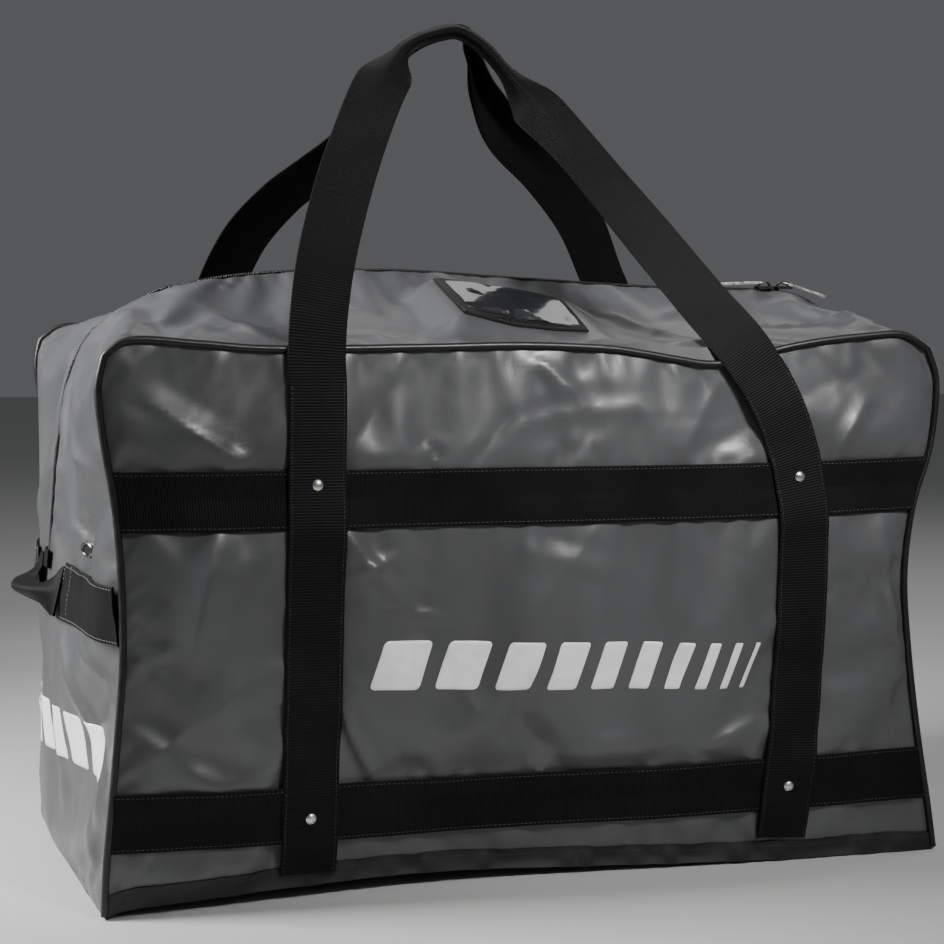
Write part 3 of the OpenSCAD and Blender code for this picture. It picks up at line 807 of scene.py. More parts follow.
def slab(name, mid, normals, thick, key):
    """A strip with soft edges. mid and normals are grids [along][across]; ends are closed flat."""
    rows, cols = mid.shape[:2]
    taper = EDGE_ROUND if cols == len(ACROSS) else np.ones(cols)
    half = normals * (taper * thick / 2)[None, :, None]
    ring = np.concatenate([mid + half, (mid - half)[:, ::-1]], 1)
    loop = 2 * cols
    ids = np.arange(rows * loop).reshape(rows, loop)
    k = np.arange(cols - 1)
    caps = []
    for r, turn in ((0, False), (rows - 1, True)):
        cap = np.stack([ids[r, k], ids[r, loop - 1 - k], ids[r, loop - 2 - k], ids[r, k + 1]], 1)
        caps.append(cap[:, ::-1] if turn else cap)
    faces = np.concatenate([loop_faces(rows, loop)] + caps)
    turned_over = (np.cross(np.gradient(mid, axis=1), np.gradient(mid, axis=0)) * normals).sum() < 0
    faces = faces[:, ::-1] if turned_over else faces
    across = distances(mid[rows // 2])
    u = np.broadcast_to(distances(mid[:, cols // 2])[:, None], (rows, loop))
    v = np.broadcast_to(np.concatenate([across, across[::-1]])[None, :], (rows, loop))
    uv = np.stack([u, v], -1).reshape(-1, 2)
    lean = np.sqrt(np.clip(1 - taper, 0, 1)) * np.sign(np.arange(cols) - (cols - 1) / 2)
    sideways = unit(np.gradient(mid, axis=1)) * lean[None, :, None]
    facing = np.concatenate([unit(normals + sideways * 1.2), unit(sideways * 1.2 - normals)[:, ::-1]], 1)
    return new_mesh(name, ring.reshape(-1, 3), faces, key, uv, 2 * (cols - 1), facing.reshape(-1, 3))


def tube(name, path, radius, key, sides=10):
    """A round cord along a path."""
    path = np.asarray(path, float)
    t = unit(np.gradient(path, axis=0))
    u = np.cross(t[0], (0.3, 0.5, 0.81))
    frames = []
    for k in range(len(path)):
        u = u - t[k] * (u @ t[k])
        u = u / np.linalg.norm(u)
        frames.append(u)
    u = np.array(frames)
    w = np.cross(t, u)
    a = np.linspace(0, 2 * np.pi, sides, endpoint=False)
    ring = path[:, None] + radius * (np.cos(a)[:, None] * u[:, None] + np.sin(a)[:, None] * w[:, None])
    fan = np.array([(0, k, k + 1) for k in range(1, sides - 1)])
    uv = np.stack([np.repeat(distances(path), sides), np.tile(a * radius, len(path))], 1)
    faces = [*loop_faces(len(path), sides), *fan[:, ::-1], *(fan + (len(path) - 1) * sides)]
    return new_mesh(name, ring.reshape(-1, 3), faces, key, uv, 2 * (sides - 2))


def turned(profile, segments=28):
    """Points and faces of a profile [(radius, height), ...] turned about the Z axis."""
    profile = np.array(profile, float)
    a = np.linspace(0, 2 * np.pi, segments, endpoint=False)
    r, h = profile[:, 0][:, None], profile[:, 1][:, None]
    points = np.stack([r * np.cos(a), r * np.sin(a), np.broadcast_to(h, (len(profile), segments))], -1)
    return points.reshape(-1, 3), loop_faces(len(profile), segments)


def gathered(pieces):
    """Several (points, faces) as one."""
    faces, count = [], 0
    for points, own in pieces:
        faces += [[k + count for k in face] for face in own]
        count += len(points)
    return np.concatenate([points for points, own in pieces]), faces


def placed(points, faces, spots):
    """The same small part at each (place, outward direction) spot, as one."""
    turns = [np.array(Vector(out).to_track_quat("Z", "Y").to_matrix()) for place, out in spots]
    return gathered([(points @ turn.T + place, faces) for turn, (place, out) in zip(turns, spots)])


# ---- finding the skin under a strip ----------------------------------------------------------

OUT = {"front": (0, -1, 0), "rear": (0, 1, 0), "left": (-1, 0, 0), "right": (1, 0, 0), "top": (0, 0, 1)}
SKIN = {side: TREES[side if side in FACES else "gusset"] for side in OUT}


def on_skin(side, points):
    """The points slid along the side's outward direction onto the skin."""
    out = np.array(OUT[side], float)
    axis = int(np.argmax(np.abs(out)))
    flat = np.array(points, float).reshape(-1, 3)
    for p in flat:
        start = p.copy()
        start[axis] = out[axis] * 1.5
        hit = SKIN[side].ray_cast(Vector(start), Vector(-out))[0]
        if hit is None:
            hit = SKIN[side].find_nearest(Vector(p))[0]
        p[axis] = hit[axis]
    return flat.reshape(np.shape(points))


def laid(side, points, lift, across=3):
    """A strip's grid [along][across] laid over the skin: stiffer than the fabric, never under it."""
    out = np.array(OUT[side], float)
    axis = int(np.argmax(np.abs(out)))
    g = on_skin(side, points)
    height = spread(spread(g[..., axis] * out[axis], 3, 0), across, 1)
    g[..., axis] = (height + lift) * out[axis]
    return g, turned_to(grid_normals(g), out)


DASH_FACES = grid_faces(4, 5, flip=True)


def dashes(name, lines, key="thread", pitch=0.0042, length=0.0030, radius=0.00042):
    """Stitches: short raised dashes along each (path, normals) line."""
    a = np.linspace(0, np.pi, 5)
    ends = np.array([0, 0.25, 0.75, 1.0])
    size = np.array([0.25, 1, 1, 0.25])
    pieces = []
    for path, normals in lines:
        at = distances(path)
        for s in np.arange(pitch / 2, at[-1] - length, pitch):
            p0, p1 = read_along(np.array([s, s + length]), at, path)
            n = unit(read_along(s, at, normals))
            w = unit(np.cross(p1 - p0, n))
            centre = p0 + (p1 - p0) * ends[:, None]
            arc = np.cos(a)[:, None] * w + np.sin(a)[:, None] * n
            ring = centre[:, None] + radius * size[:, None, None] * arc
            pieces.append((ring.reshape(-1, 3), DASH_FACES))
    return new_mesh(name, *gathered(pieces), key)


def edge_lines(g, n, thick, inset=0.11):
    """Stitch lines on a strip's outer face; inset is their distance from its edges in half widths."""
    lines = []
    for place in (1 - inset, inset - 1):
        at = np.interp(place, ACROSS, np.arange(len(ACROSS)))
        k, f = int(at), at - int(at)
        path = g[:, k] * (1 - f) + g[:, k + 1] * f
        lines.append((path + n[:, k] * thick / 2, n[:, k]))
    return lines


# ---- sewn webbing ----------------------------------------------------------------------------


def web_piece(node, g, n, body=ROOT, blend=None, thick=WEB_THICK):
    """A strip of webbing that stands for the CAD node of that name."""
    dress(slab(node + "_web", g, n, thick, "webbing"), body, [node], blend)


RIVET_Z = {"upper": 0.368, "lower": 0.074}
STRAP_TOP = 0.455
LEANING_STRAP = smooth_path(np.array([      # x, z of the front right strap, which leans in at the top
    (227, 20), (230, 74), (234, 150), (235, 300), (227, 368), (217, 402), (206, 429), (191, 458)]) * MM, 60)
BAND_RISE = {                               # x, z: how far a band strays from its height
    "upper": ((-400, 0), (150, 0), (370, 4)),
    "lower": ((-400, 8), (-300, 5), (-150, 2), (100, 1), (370, 4)),
}
STRAP_FOOT = 0.024


def seam_x(face, z):
    """x of a panel's left and right seams at height z."""
    g = GRIDS[face]
    left, right = g[:, 0], g[:, -1]
    return np.interp(z, left[:, 2], left[:, 0]), np.interp(z, right[:, 2], right[:, 0])


def band_grid(face, level):
    z = BAND_Z[level]
    steps = np.linspace(0, 1, 190)[:, None]
    zz = z + ACROSS * WEB / 2
    ends = np.array([seam_x(face, h) for h in zz])
    x = ends[:, 0][None] * (1 - steps) + ends[:, 1][None] * steps
    rise = np.array(BAND_RISE[level]) * MM
    points = np.stack([x, np.zeros_like(x), zz + np.interp(x, rise[:, 0], rise[:, 1])], -1)
    return laid(face, points, WEB_THICK / 2 + 0.0003, across=2)


def strap_x(face, side, z):
    """Centre line of a strap: upright, but the front right one leans."""
    if face == "front" and side == RIGHT:
        return np.interp(z, LEANING_STRAP[:, 1], LEANING_STRAP[:, 0])
    return side * STRAP_X + 0.0 * z


def over_bands(z):
    """Share of a band's thickness that a strap climbs over at height z."""
    cover = [np.clip((WEB / 2 + 0.012 - np.abs(z - b)) / 0.012, 0, 1) for b in BAND_Z.values()]
    return eased(np.maximum(*cover))


def strap_grid(face, side):
    """Grid [up][across], from the hem to where the strap leaves the panel."""
    z = np.linspace(STRAP_FOOT, STRAP_TOP, 120)
    x = strap_x(face, side, z)
    slope = np.gradient(x, z)
    across = unit(np.stack([np.ones_like(z), np.zeros_like(z), -slope], -1))
    centre = np.stack([x, np.zeros_like(z), z], -1)
    points = centre[:, None] + across[:, None] * (ACROSS * WEB / 2)[None, :, None]
    g, n = laid(face, points, WEB_THICK / 2 + 0.0004, across=5)
    out = OUT[face][1]
    g[..., 1] += out * (WEB_THICK + 0.0003) * over_bands(z)[:, None]
    calm = np.clip((z - 0.40) / (STRAP_TOP - 0.40), 0, 1)[:, None]
    outermost = (g[..., 1] * out).max(1, keepdims=True) * out
    g[..., 1] = g[..., 1] * (1 - calm) + outermost * calm
    g[..., 1] = spread(g[..., 1] * out, 2, 0) * out
    return g, turned_to(grid_normals(g), OUT[face])


def make_bands_and_hems():
    for face in FACES:
        lines = []
        for level in BAND_Z:
            g, n = band_grid(face, level)
            web_piece(f"band_{level}_{face}", g, n)
            lines += edge_lines(g, n, WEB_THICK)
        dress(dashes(f"band_stitches_{face}", lines))
        hem_rows = row_at(0.031, GRIDS[face][:, DEPTH_STEPS, 2]) + 1
        g = GRIDS[face][:hem_rows].transpose(1, 0, 2)
        n = NORMALS[face][:hem_rows].transpose(1, 0, 2)
        dress(slab(f"hem_{face}_strip", g + n * 0.0011, n, 0.0020, "hem"),
              replaces=[f"hem_{face}"])
        top = g[:, -2] + n[:, -2] * 0.0021
        dress(dashes(f"hem_stitches_{face}", [(top, n[:, -2])]))


make_bands_and_hems()

# ---- carrying straps and handles: one length of webbing per face -----------------------------

# Each station: place in mm, the way the webbing's outer face looks, and its fold in degrees.
FRONT_HANDLE = [
    ((-231, -223, 480), (0, -1, 0), 0), ((-227, -216, 520), (0, -1, 0.1), 0),
    ((-216, -200, 568), (-0.1, -1, 0.2), 0), ((-190, -160, 630), (-0.2, -1, 0.3), 0),
    ((-158, -110, 686), (-0.3, -1, 0.3), 0), ((-134, -78, 724), (-0.3, -1, 0.3), 14),
    ((-114, -58, 749), (-0.3, -1, 0.3), 90), ((-98, -48, 763), (-0.3, -1, 0.1), 155),
    ((-74, -38, 773), (-0.3, -1, -0.05), 164), ((-46, -34, 778), (-0.3, -1, -0.1), 165),
    ((-22, -38, 765), (-0.3, -1, -0.1), 165), ((-4, -46, 744), (-0.3, -1, -0.1), 160),
    ((9, -56, 726), (-0.3, -1, -0.05), 110), ((24, -72, 706), (-0.1, -1, 0.15), 30),
    ((46, -98, 673), (0.05, -1, 0.35), 3), ((70, -122, 637), (0.05, -1, 0.4), 0),
    ((107, -152, 584), (0, -1, 0.2), 0),
    ((142, -190, 529), (0, -1, 0.1), 0), ((168, -219, 490), (0, -1, 0), 0),
]
REAR_HANDLE = [
    ((-231, 223, 480), (0, 1, 0), 0), ((-226, 205, 526), (0, 1, 0.1), 0),
    ((-211, 156, 580), (-0.1, 1, 0.3), 0), ((-184, 116, 622), (-0.2, 1, 0.4), 10),
    ((-156, 84, 655), (-0.2, 1, 0.4), 50), ((-126, 58, 700), (-0.2, 1, 0.4), 120),
    ((-84, 34, 763), (0.2, 1, 0.1), 158), ((-30, 22, 785), (0.3, 1, 0.1), 165),
    ((-13, 26, 767), (0.3, 1, 0.1), 160), ((6, 42, 732), (0.3, 1, 0.2), 110),
    ((44, 66, 690), (0.3, 0.9, 0.5), 45), ((94, 92, 654), (0.1, 1, 0.4), 10),
    ((148, 132, 608), (0, 1, 0.3), 0), ((196, 184, 551), (0, 1, 0.1), 0),
    ((226, 213, 512), (0, 1, 0.05), 0), ((231, 222, 482), (0, 1, 0), 0),
]
HANDLE_STEPS = 190
FOLD_RADIUS = 0.0034


def smooth_values(stations, count):
    """Stations' places, looks and folds at count + 1 points evenly spaced along the curve."""
    rows = np.array([[*np.array(p) * MM, *look, fold] for p, look, fold in stations], float)
    return resample(curve_through(rows, 14), count)


def ribbon(values, width=WEB):
    """Grids of middle points and normals of webbing that follows the stations' looks and folds."""
    path, look, fold = values[:, :3], values[:, 3:6], np.radians(np.clip(values[:, 6], 0, 165))
    t = unit(np.gradient(path, axis=0))
    n = unit(look - t * (look * t).sum(1, keepdims=True))
    w = np.cross(t, n)
    s = np.linspace(-width / 2, width / 2, 241)
    step, middle_s = s[1] - s[0], len(s) // 2
    mids, normals = [], []
    for k in range(len(path)):
        turn = fold[k] / 2 * np.tanh(s / FOLD_RADIUS)
        sideways, outwards = np.cumsum(np.cos(turn)) * step, -np.cumsum(np.sin(turn)) * step
        section = np.stack([sideways - sideways[middle_s], outwards - outwards[middle_s], turn], 1)
        a, b, turn = read_along(ACROSS * width / 2, s, section).T[..., None]
        mids.append(path[k] + a * w[k] + b * n[k])
        normals.append(np.sin(turn) * w[k] + np.cos(turn) * n[k])
    return np.array(mids), np.array(normals)


HANDLE_HOLD, HANDLE_FREE = 0.452, 0.536     # HANDLE_HOLD, HANDLE_FREE = 0.452, 0.536 # two heights handed to dress() with each handle's webbing, which only checks that they are given


def matched(leg, mid_row):
    """A strap's grids with its columns in the same order as the handle's row."""
    g, n = leg
    if (mid_row[-1] - mid_row[0]) @ (g[-1, -1] - g[-1, 0]) < 0:
        return g[:, ::-1], n[:, ::-1]
    return g, n


def make_straps():
    """The four straps and two handles; returns each strap's middle grid and normals."""
    straps = {}
    for face, stations in (("front", FRONT_HANDLE), ("rear", REAR_HANDLE)):
        legs = {side: strap_grid(face, side) for side in (LEFT, RIGHT)}
        ends = [(tuple(legs[side][0][-1, CENTRE] / MM), OUT[face], 0) for side in (LEFT, RIGHT)]
        mid, normal = ribbon(smooth_values([ends[0]] + stations + [ends[1]], HANDLE_STEPS))
        fade = np.clip(1 - np.arange(len(mid)) / 10, 0, 1)[:, None, None] ** 2
        left, right = matched(legs[LEFT], mid[0]), matched(legs[RIGHT], mid[-1])
        mid = mid + fade * (left[0][-1] - mid[0]) + fade[::-1] * (right[0][-1] - mid[-1])
        whole = np.concatenate([left[0][:-1], mid, right[0][-2::-1]])
        facing = grid_normals(whole)
        if facing[0, 0] @ np.array(OUT[face]) < 0:
            facing = -facing
        first, last = len(left[0]) - 1, len(left[0]) - 1 + len(mid)
        left, right = (left[0], facing[:first + 1]), (right[0], facing[last - 1:][::-1])
        normal = facing[first:last]
        web_piece(f"handle_{face}", mid, normal, f"carry_handle_{face}",
                  ((0, 0, HANDLE_HOLD), (0, 0, HANDLE_FREE)))
        lines = []
        for name, (g, n) in (("left", left), ("right", right)):
            web_piece(f"strap_{face}_{name}", g, n)
            lines += edge_lines(g, n, WEB_THICK)
            straps[face, name] = g, n
        dress(dashes(f"strap_stitches_{face}", lines))
    return straps


STRAPS = make_straps()

# ---- rivets, washers and eyelets -------------------------------------------------------------

RIVET = [(0, 0.0021), (0.0018, 0.0020), (0.0034, 0.0015), (0.0043, 0.0008), (0.0049, 0.0004),
         (0.0050, 0.0), (0.0048, -0.0006), (0.0, -0.0006)]
WASHER = [(0.0022, 0.0), (0.0058, 0.0), (0.0062, -0.0005), (0.0058, -0.0010), (0.0022, -0.0010),
          (0.0022, 0.0)]
EYELET = [(0.0052, -0.0030), (0.0052, 0.0006), (0.0057, 0.0013), (0.0064, 0.0016), (0.0072, 0.0014),
          (0.0081, 0.0006), (0.0087, -0.0002), (0.0087, -0.0014)]
EYELET_OVAL = (1.3, 0.85, 1)                 # longer along the depth than it is high
# flat disc filling each eyelet ring over the uncut skin: painted shade, not a part of the eyelet
EYELET_SHADE_DISC = [(0.0, 0.0), (0.0053, 0.0)]


def seat(side, place, lift=0.0, steady=1.5):
    """(place, direction) of a small part set on the skin; steady pulls it square to the face."""
    p = on_skin(side, np.array(place, float))
    n = turned_to(np.array(SKIN[side].find_nearest(Vector(p))[1]), OUT[side])
    n = unit(n + steady * np.array(OUT[side]))
    return p + n * lift, n


def small_parts(name, profile, spots, key, stretch=(1, 1, 1)):
    points, faces = turned(profile)
    return new_mesh(name, *placed(points * stretch, faces, spots), key)


def make_small_metal():
    for face in FACES:
        outer = []
        for z in RIVET_Z.values():
            for name in ("left", "right"):
                g, n = STRAPS[face, name]
                at = np.argmin(np.abs(g[:, CENTRE, 2] - z)), CENTRE
                outer.append((g[at] + n[at] * (WEB_THICK / 2 + 0.0003), n[at]))
        inner = [seat(face, p, -FABRIC_THICK - 0.0002) for p, _ in outer]
        dress(small_parts(f"rivet_heads_{face}", RIVET, outer, "rivet"),
              replaces=[f"rivets_{face}"])
        dress(small_parts(f"rivet_backs_{face}", WASHER, inner, "rivet"),
              replaces=[f"rivet_washers_{face}"])
    for side in ("left", "right"):
        spots = [seat(side, (0, y, EYELET_Z), 0.0004, 0.1) for y in (-EYELET_Y, EYELET_Y)]
        dress(small_parts(f"eyelet_rings_{side}", EYELET, spots, "gunmetal", EYELET_OVAL),
              replaces=[f"eyelets_{side}"])
        # a near-black disc inside each ring: painted shade where the hole looks into the bag
        dress(small_parts(f"eyelet_hole_shade_{side}", EYELET_SHADE_DISC, spots, "hole", EYELET_OVAL))


make_small_metal()

# ---- piping and the binding inside the seams -------------------------------------------------

PIPE = 0.0032
PIPE_AWAY, PIPE_OUT = 0.0012, 0.0020         # the cord's place off the seam, in and out of the panel
BINDING_AWAY, BINDING_OUT = 0.0050, 0.0032   # the binding tape's place inside the seam
BINDING_HALF, BINDING_THICK = 0.0034, 0.0014


def seam_line(face):
    """The settled seam up one side, over the top and down the other."""
    g = GRIDS[face]
    return np.concatenate([g[:, 0], g[-1, 1:], g[-2::-1, -1]])


def outward_in_face(line):
    """Unit directions away from the panel's middle, square to its seam."""
    n = np.cross(unit(np.gradient(line, axis=0)), (0, 1, 0))
    n[:, 1] = 0
    n = unit(n)
    return np.where(((line - line.mean(0)) * n).sum(1, keepdims=True) < 0, -n, n)


def make_piping():
    for face in FACES:
        line = seam_line(face)
        away = outward_in_face(line)
        out = np.array(OUT[face], float)
        round_cord = line + away * PIPE_AWAY + out * PIPE_OUT
        round_cord[:, 2] = np.maximum(round_cord[:, 2], PIPE)
        dress(tube(f"piping_{face}_cord", round_cord, PIPE, "piping", sides=14),
              replaces=[f"piping_{face}"])
        inner = line - away * BINDING_AWAY - out * BINDING_OUT
        shares = np.linspace(-1, 1, 5)
        g = inner[:, None] + shares[None, :, None] * (away * BINDING_HALF)[:, None]
        n = np.broadcast_to(-out, g.shape)
        dress(slab(f"seam_binding_{face}_tape", g[6:-6], n[6:-6], BINDING_THICK, "binding"),
              replaces=[f"seam_binding_{face}"])


make_piping()

# ---- zip -------------------------------------------------------------------------------------

TAPE_COLS = 4
TAPE_THICK = 0.0008
COIL_RADIUS, COIL_WIRE, COIL_PITCH = 0.0016, 0.00052, 0.0024


def coil_path(rows, shift):
    """Centre line of one coil: the zip line, a little to one side and just below the skin."""
    g, n = GRIDS["gusset"][rows, MID], NORMALS["gusset"][rows, MID]
    path = g - n * 0.0006 + np.array([0, shift, 0])
    at = distances(path)
    want = np.linspace(0, at[-1], int(at[-1] / COIL_PITCH * 8))
    path, normal = read_along(want, at, path), unit(read_along(want, at, n))
    turn = want / COIL_PITCH * 2 * math.pi
    return (path + COIL_RADIUS * (np.cos(turn)[:, None] * normal
                                  + np.sin(turn)[:, None] * np.array([0, 1.0, 0])))


def tape_grid(rows, cols):
    """Middle points and normals of zip tape under the skin."""
    g, n = GRIDS["gusset"][rows, cols], NORMALS["gusset"][rows, cols]
    return g - n * (FABRIC_THICK + TAPE_THICK / 2 + 0.0002), n


def make_zip():
    for side, rows in CORNER_ROWS.items():
        g, n = tape_grid(rows, slice(MID - TAPE_COLS, MID + TAPE_COLS + 1))
        dress(slab(f"zip_tape_{side}_end", g, n, TAPE_THICK, "tape"),
              replaces=[f"zip_tape_{side}"])
        for face, sign in FACES.items():
            dress(tube(f"zip_coil_{side}_{face}", coil_path(rows, sign * 0.0017), COIL_WIRE, "teeth", 5),
                  replaces=[f"zip_teeth_{side}"])
    for face, sign in FACES.items():
        flap = "flap_" + face
        for side, rows in MOUTH_ROWS.items():
            cols = slice(MID - TAPE_COLS, MID + 1) if sign == FRONT else slice(MID, MID + TAPE_COLS + 1)
            g, n = tape_grid(rows, cols)
            g[:, -1 if sign == FRONT else 0, 1] += sign * 0.0006
            dress(slab(f"zip_tape_{face}_{side}", g, n, TAPE_THICK, "tape"), flap,
                  [f"zip_tape_{face}"], FADE[side])
            dress(tube(f"zip_coil_{face}_{side}", coil_path(rows, sign * 0.0017), COIL_WIRE, "teeth", 5),
                  flap, [f"zip_teeth_{face}"], FADE[side])


def rounded(centres, radius, steps):
    """An outline of quarter arcs about four centres, from the lower right one anticlockwise."""
    points = []
    for (x, y), start in zip(centres, (-90, 0, 90, 180)):
        for a in np.radians(np.linspace(start, start + 90, steps)):
            points.append((x + radius * math.cos(a), y + radius * math.sin(a)))
    return np.array(points)


def flat_outline(half_length, half_width, tail_width, corner):
    """Outline of a plate that narrows towards its tail at -X, with rounded corners."""
    x, y, tail = half_length - corner, half_width - corner, tail_width - corner
    return rounded([(x, -y), (x, y), (-x, tail), (-x, -tail)], corner, 6)


def plate(outline, low, high, soft=0.0003):
    """Points and faces of a flat plate with softened edges."""
    centre = outline.mean(0)
    reach = np.linalg.norm(outline - centre, axis=1).mean()
    inset = centre + (outline - centre) * (1 - soft / reach)
    rings = [(inset, low), (outline, low + soft), (outline, high - soft), (inset, high)]
    n = len(outline)
    points = np.concatenate([np.column_stack([ring, np.full(n, z)]) for ring, z in rings])
    return points, [*loop_faces(4, n), range(n)[::-1], range(3 * n, 4 * n)]


def arch(half_length, base, rise, width, thick, steps=14):
    """A flat-wire bridge over the X axis, from the height base."""
    a = np.linspace(0, np.pi, steps)
    points = []
    for grow in (0, thick):
        for y in (-width / 2, width / 2):
            points.append(np.column_stack([np.cos(a) * (half_length + grow), np.full(steps, y),
                                           base + np.sin(a) * (rise + grow)]))
    ids = np.arange(4 * steps).reshape(4, steps)[[0, 1, 3, 2, 0]]
    return np.concatenate(points), quads(ids)


def make_sliders():
    """Each slider: two plates joined by a wedge, side rims, a bridge, and a flat bar on the bridge."""
    for side, way in (("left", 1), ("right", -1)):
        low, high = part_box("slider_" + side)
        middle = ((low.x + high.x) / 2, 0, SLIDER_Z)
        top = flat_outline(0.0100, 0.0068, 0.0052, 0.0030)
        rim = flat_outline(0.0085, 0.0007, 0.0007, 0.0005)
        wedge = flat_outline(0.0026, 0.0022, 0.0008, 0.0007) + (0.0064, 0)
        points, faces = gathered([
            plate(top, 0.0022, 0.0036), plate(top * 0.96, -0.0056, -0.0044),
            plate(wedge, -0.0044, 0.0022),
            plate(rim + (0, 0.0058), 0.0006, 0.0024), plate(rim - (0, 0.0058), 0.0006, 0.0024),
            arch(0.0058, 0.0034, 0.0040, 0.0042, 0.0011),
        ])
        obj = new_mesh(f"zip_slider_{side}_body", points * (way, 1, 1) + middle, faces, "slider",
                       flat=len(faces))
        dress(obj, f"zip_slider_{side}", [f"slider_{side}"])
        make_puller(side, way, middle[0])


SLIDER_Z = 0.5385
PIVOT_Z = 0.5458
PULLER_DROOP = {"left": math.radians(3), "right": math.radians(16)}


def make_puller(side, way, middle_x):
    """A flat bar with a wire eye round the bridge; it points along -X on the left slider."""
    bar = plate(flat_outline(0.0225, 0.0045, 0.0034, 0.0016) + (0.0285, 0), -0.0013, 0.0012, 0.0004)
    ridge = plate(flat_outline(0.0150, 0.0024, 0.0020, 0.0010) + (0.0300, 0), 0.0009, 0.0014, 0.0003)
    a = np.linspace(-2.3, 2.3, 22)
    eye = np.column_stack([0.0040 - 0.0052 * np.cos(a), 0.0030 * np.sin(a), np.zeros(22)])
    turn = Matrix.Rotation(PULLER_DROOP[side], 3, "Y")
    points, faces = gathered([bar, ridge])
    obj = new_mesh(f"zip_puller_{side}_bar", points, faces, "nickel", flat=len(faces))
    wire = tube(f"zip_puller_{side}_eye", eye, 0.0008, "nickel", 8)
    for piece in (obj, wire):
        co = np.array([v.co for v in piece.data.vertices]) @ np.array(turn).T
        co = co * (-way, 1, 1) + (middle_x, 0, PIVOT_Z)
        piece.data.vertices.foreach_set("co", co.ravel())
        if way == 1:
            piece.data.flip_normals()
        dress(piece, f"zip_puller_{side}", [f"puller_{side}"])


make_zip()
make_sliders()

# ---- name-card window on the front slope -----------------------------------------------------

FRAME_WIDTH, FRAME_THICK = 0.012, 0.0018
FRAME_LIFT, FRAME_CROWN = 0.0010, 0.0014     # above the skin at its edges, and more at its middle
CARD_LIFT, PANE_LIFT, PANE_SWELL = 0.0008, 0.0016, 0.0052
PANE_CELLS = (40, 28)
WINDOW_BOW = (0.009, 0.0, 0.007, 0.0)        # how far each edge bows outwards


def window_edge(k, t):
    """Points at shares t along one edge of the window, from corner k to the next."""
    a, b = np.array(WINDOW[k]), np.array(WINDOW[(k + 1) % 4])
    outwards = unit(np.array([(b - a)[1], -(b - a)[0]]))
    return a + (b - a) * t + outwards * WINDOW_BOW[k] * np.sin(np.pi * t)


def window_points(u, v):
    """Points at shares u along and v up the window, on the skin."""
    u, v = u[..., None], v[..., None]
    xy = window_edge(0, u) * (1 - v) + window_edge(2, 1 - u) * v
    return on_skin("top", np.concatenate([xy, np.zeros_like(u)], -1))


WINDOW_SIZE = np.array([WINDOW[1][0] - WINDOW[0][0], WINDOW[2][1] - WINDOW[0][1]])
FRAME_SHARE = FRAME_WIDTH / WINDOW_SIZE


def make_pane():
    """The stiff backing on the skin and the wavy clear pane over it, both tucked under the frame."""
    shares = [np.linspace(f * 0.6, 1 - f * 0.6, cells + 1) for f, cells in zip(FRAME_SHARE, PANE_CELLS)]
    u, v = np.meshgrid(*shares, indexing="ij")
    up = unit(np.array([WINDOW_FALL, -WINDOW_RISE, 1.0]))
    skin = window_points(u, v)
    n = np.broadcast_to(up, skin.shape)
    dress(slab("window_card", skin + up * CARD_LIFT, n, 0.0006, "card"), "flap_front")
    inside = (1 - (2 * u - 1) ** 4) * (1 - (2 * v - 1) ** 4)
    folds = creases(u * WINDOW_SIZE[0], v * WINDOW_SIZE[1], 16, 71, (0.02, 0.07), (0.007, 0.018),
                    (0.0014, 0.0050))
    lift = PANE_LIFT + np.maximum((PANE_SWELL + folds) * inside, 0)
    dress(slab("window_vinyl_pane", skin + up * lift[..., None], n, 0.0004, "vinyl"),
          "flap_front", ["window_pane"])


def make_frame():
    """The bound edge of the window and its two rows of stitches."""
    rim = np.concatenate([window_edge(k, np.linspace(0, 1, 26)[:-1, None]) for k in range(4)])
    centre = np.mean(WINDOW, axis=0)
    inner = centre + (rim - centre) * (1 - 2 * FRAME_SHARE)
    t = (ACROSS + 1) / 2
    xy = inner[:, None] + (rim - inner)[:, None] * t[None, :, None]
    xy = np.concatenate([xy, xy[:1]])
    g = on_skin("top", np.concatenate([xy, np.zeros_like(xy[..., :1])], -1))
    g[..., 2] += FRAME_LIFT + FRAME_CROWN * (1 - ACROSS ** 4)
    n = turned_to(grid_normals(g), OUT["top"])
    dress(slab("window_frame", g, n, FRAME_THICK, "binding"), "flap_front", ["window_binding"])
    lines = [(g[:, k] + n[:, k] * 0.001, n[:, k]) for k in (3, 13)]
    dress(dashes("window_stitches", lines, pitch=0.0036), "flap_front")


make_pane()
make_frame()

# ---- ends: webbing patches, grab handles, zip end tabs ---------------------------------------

END_Z = 0.258
ROOT_Y = 0.062
TAB_Z, TAB_THICK = 0.281, 0.0030
# where the grab handle goes: y, distance out, drop below the patches, fold in degrees
GRAB_STATIONS = [(-62, 0.5, 0, 0), (-55, 4, 0, 20), (-44, 14, 1, 90), (-28, 25, 2, 140), (0, 29, 3, 156),
                 (28, 25, 2, 140), (44, 14, 1, 90), (55, 4, 0, 20), (62, 0.5, 0, 0)]


def end_points(y, z):
    """Grid of points [along y][along z] on the plane x = 0, to be laid on an end."""
    return np.stack(np.broadcast_arrays(0.0, y[:, None], z[None, :]), -1)


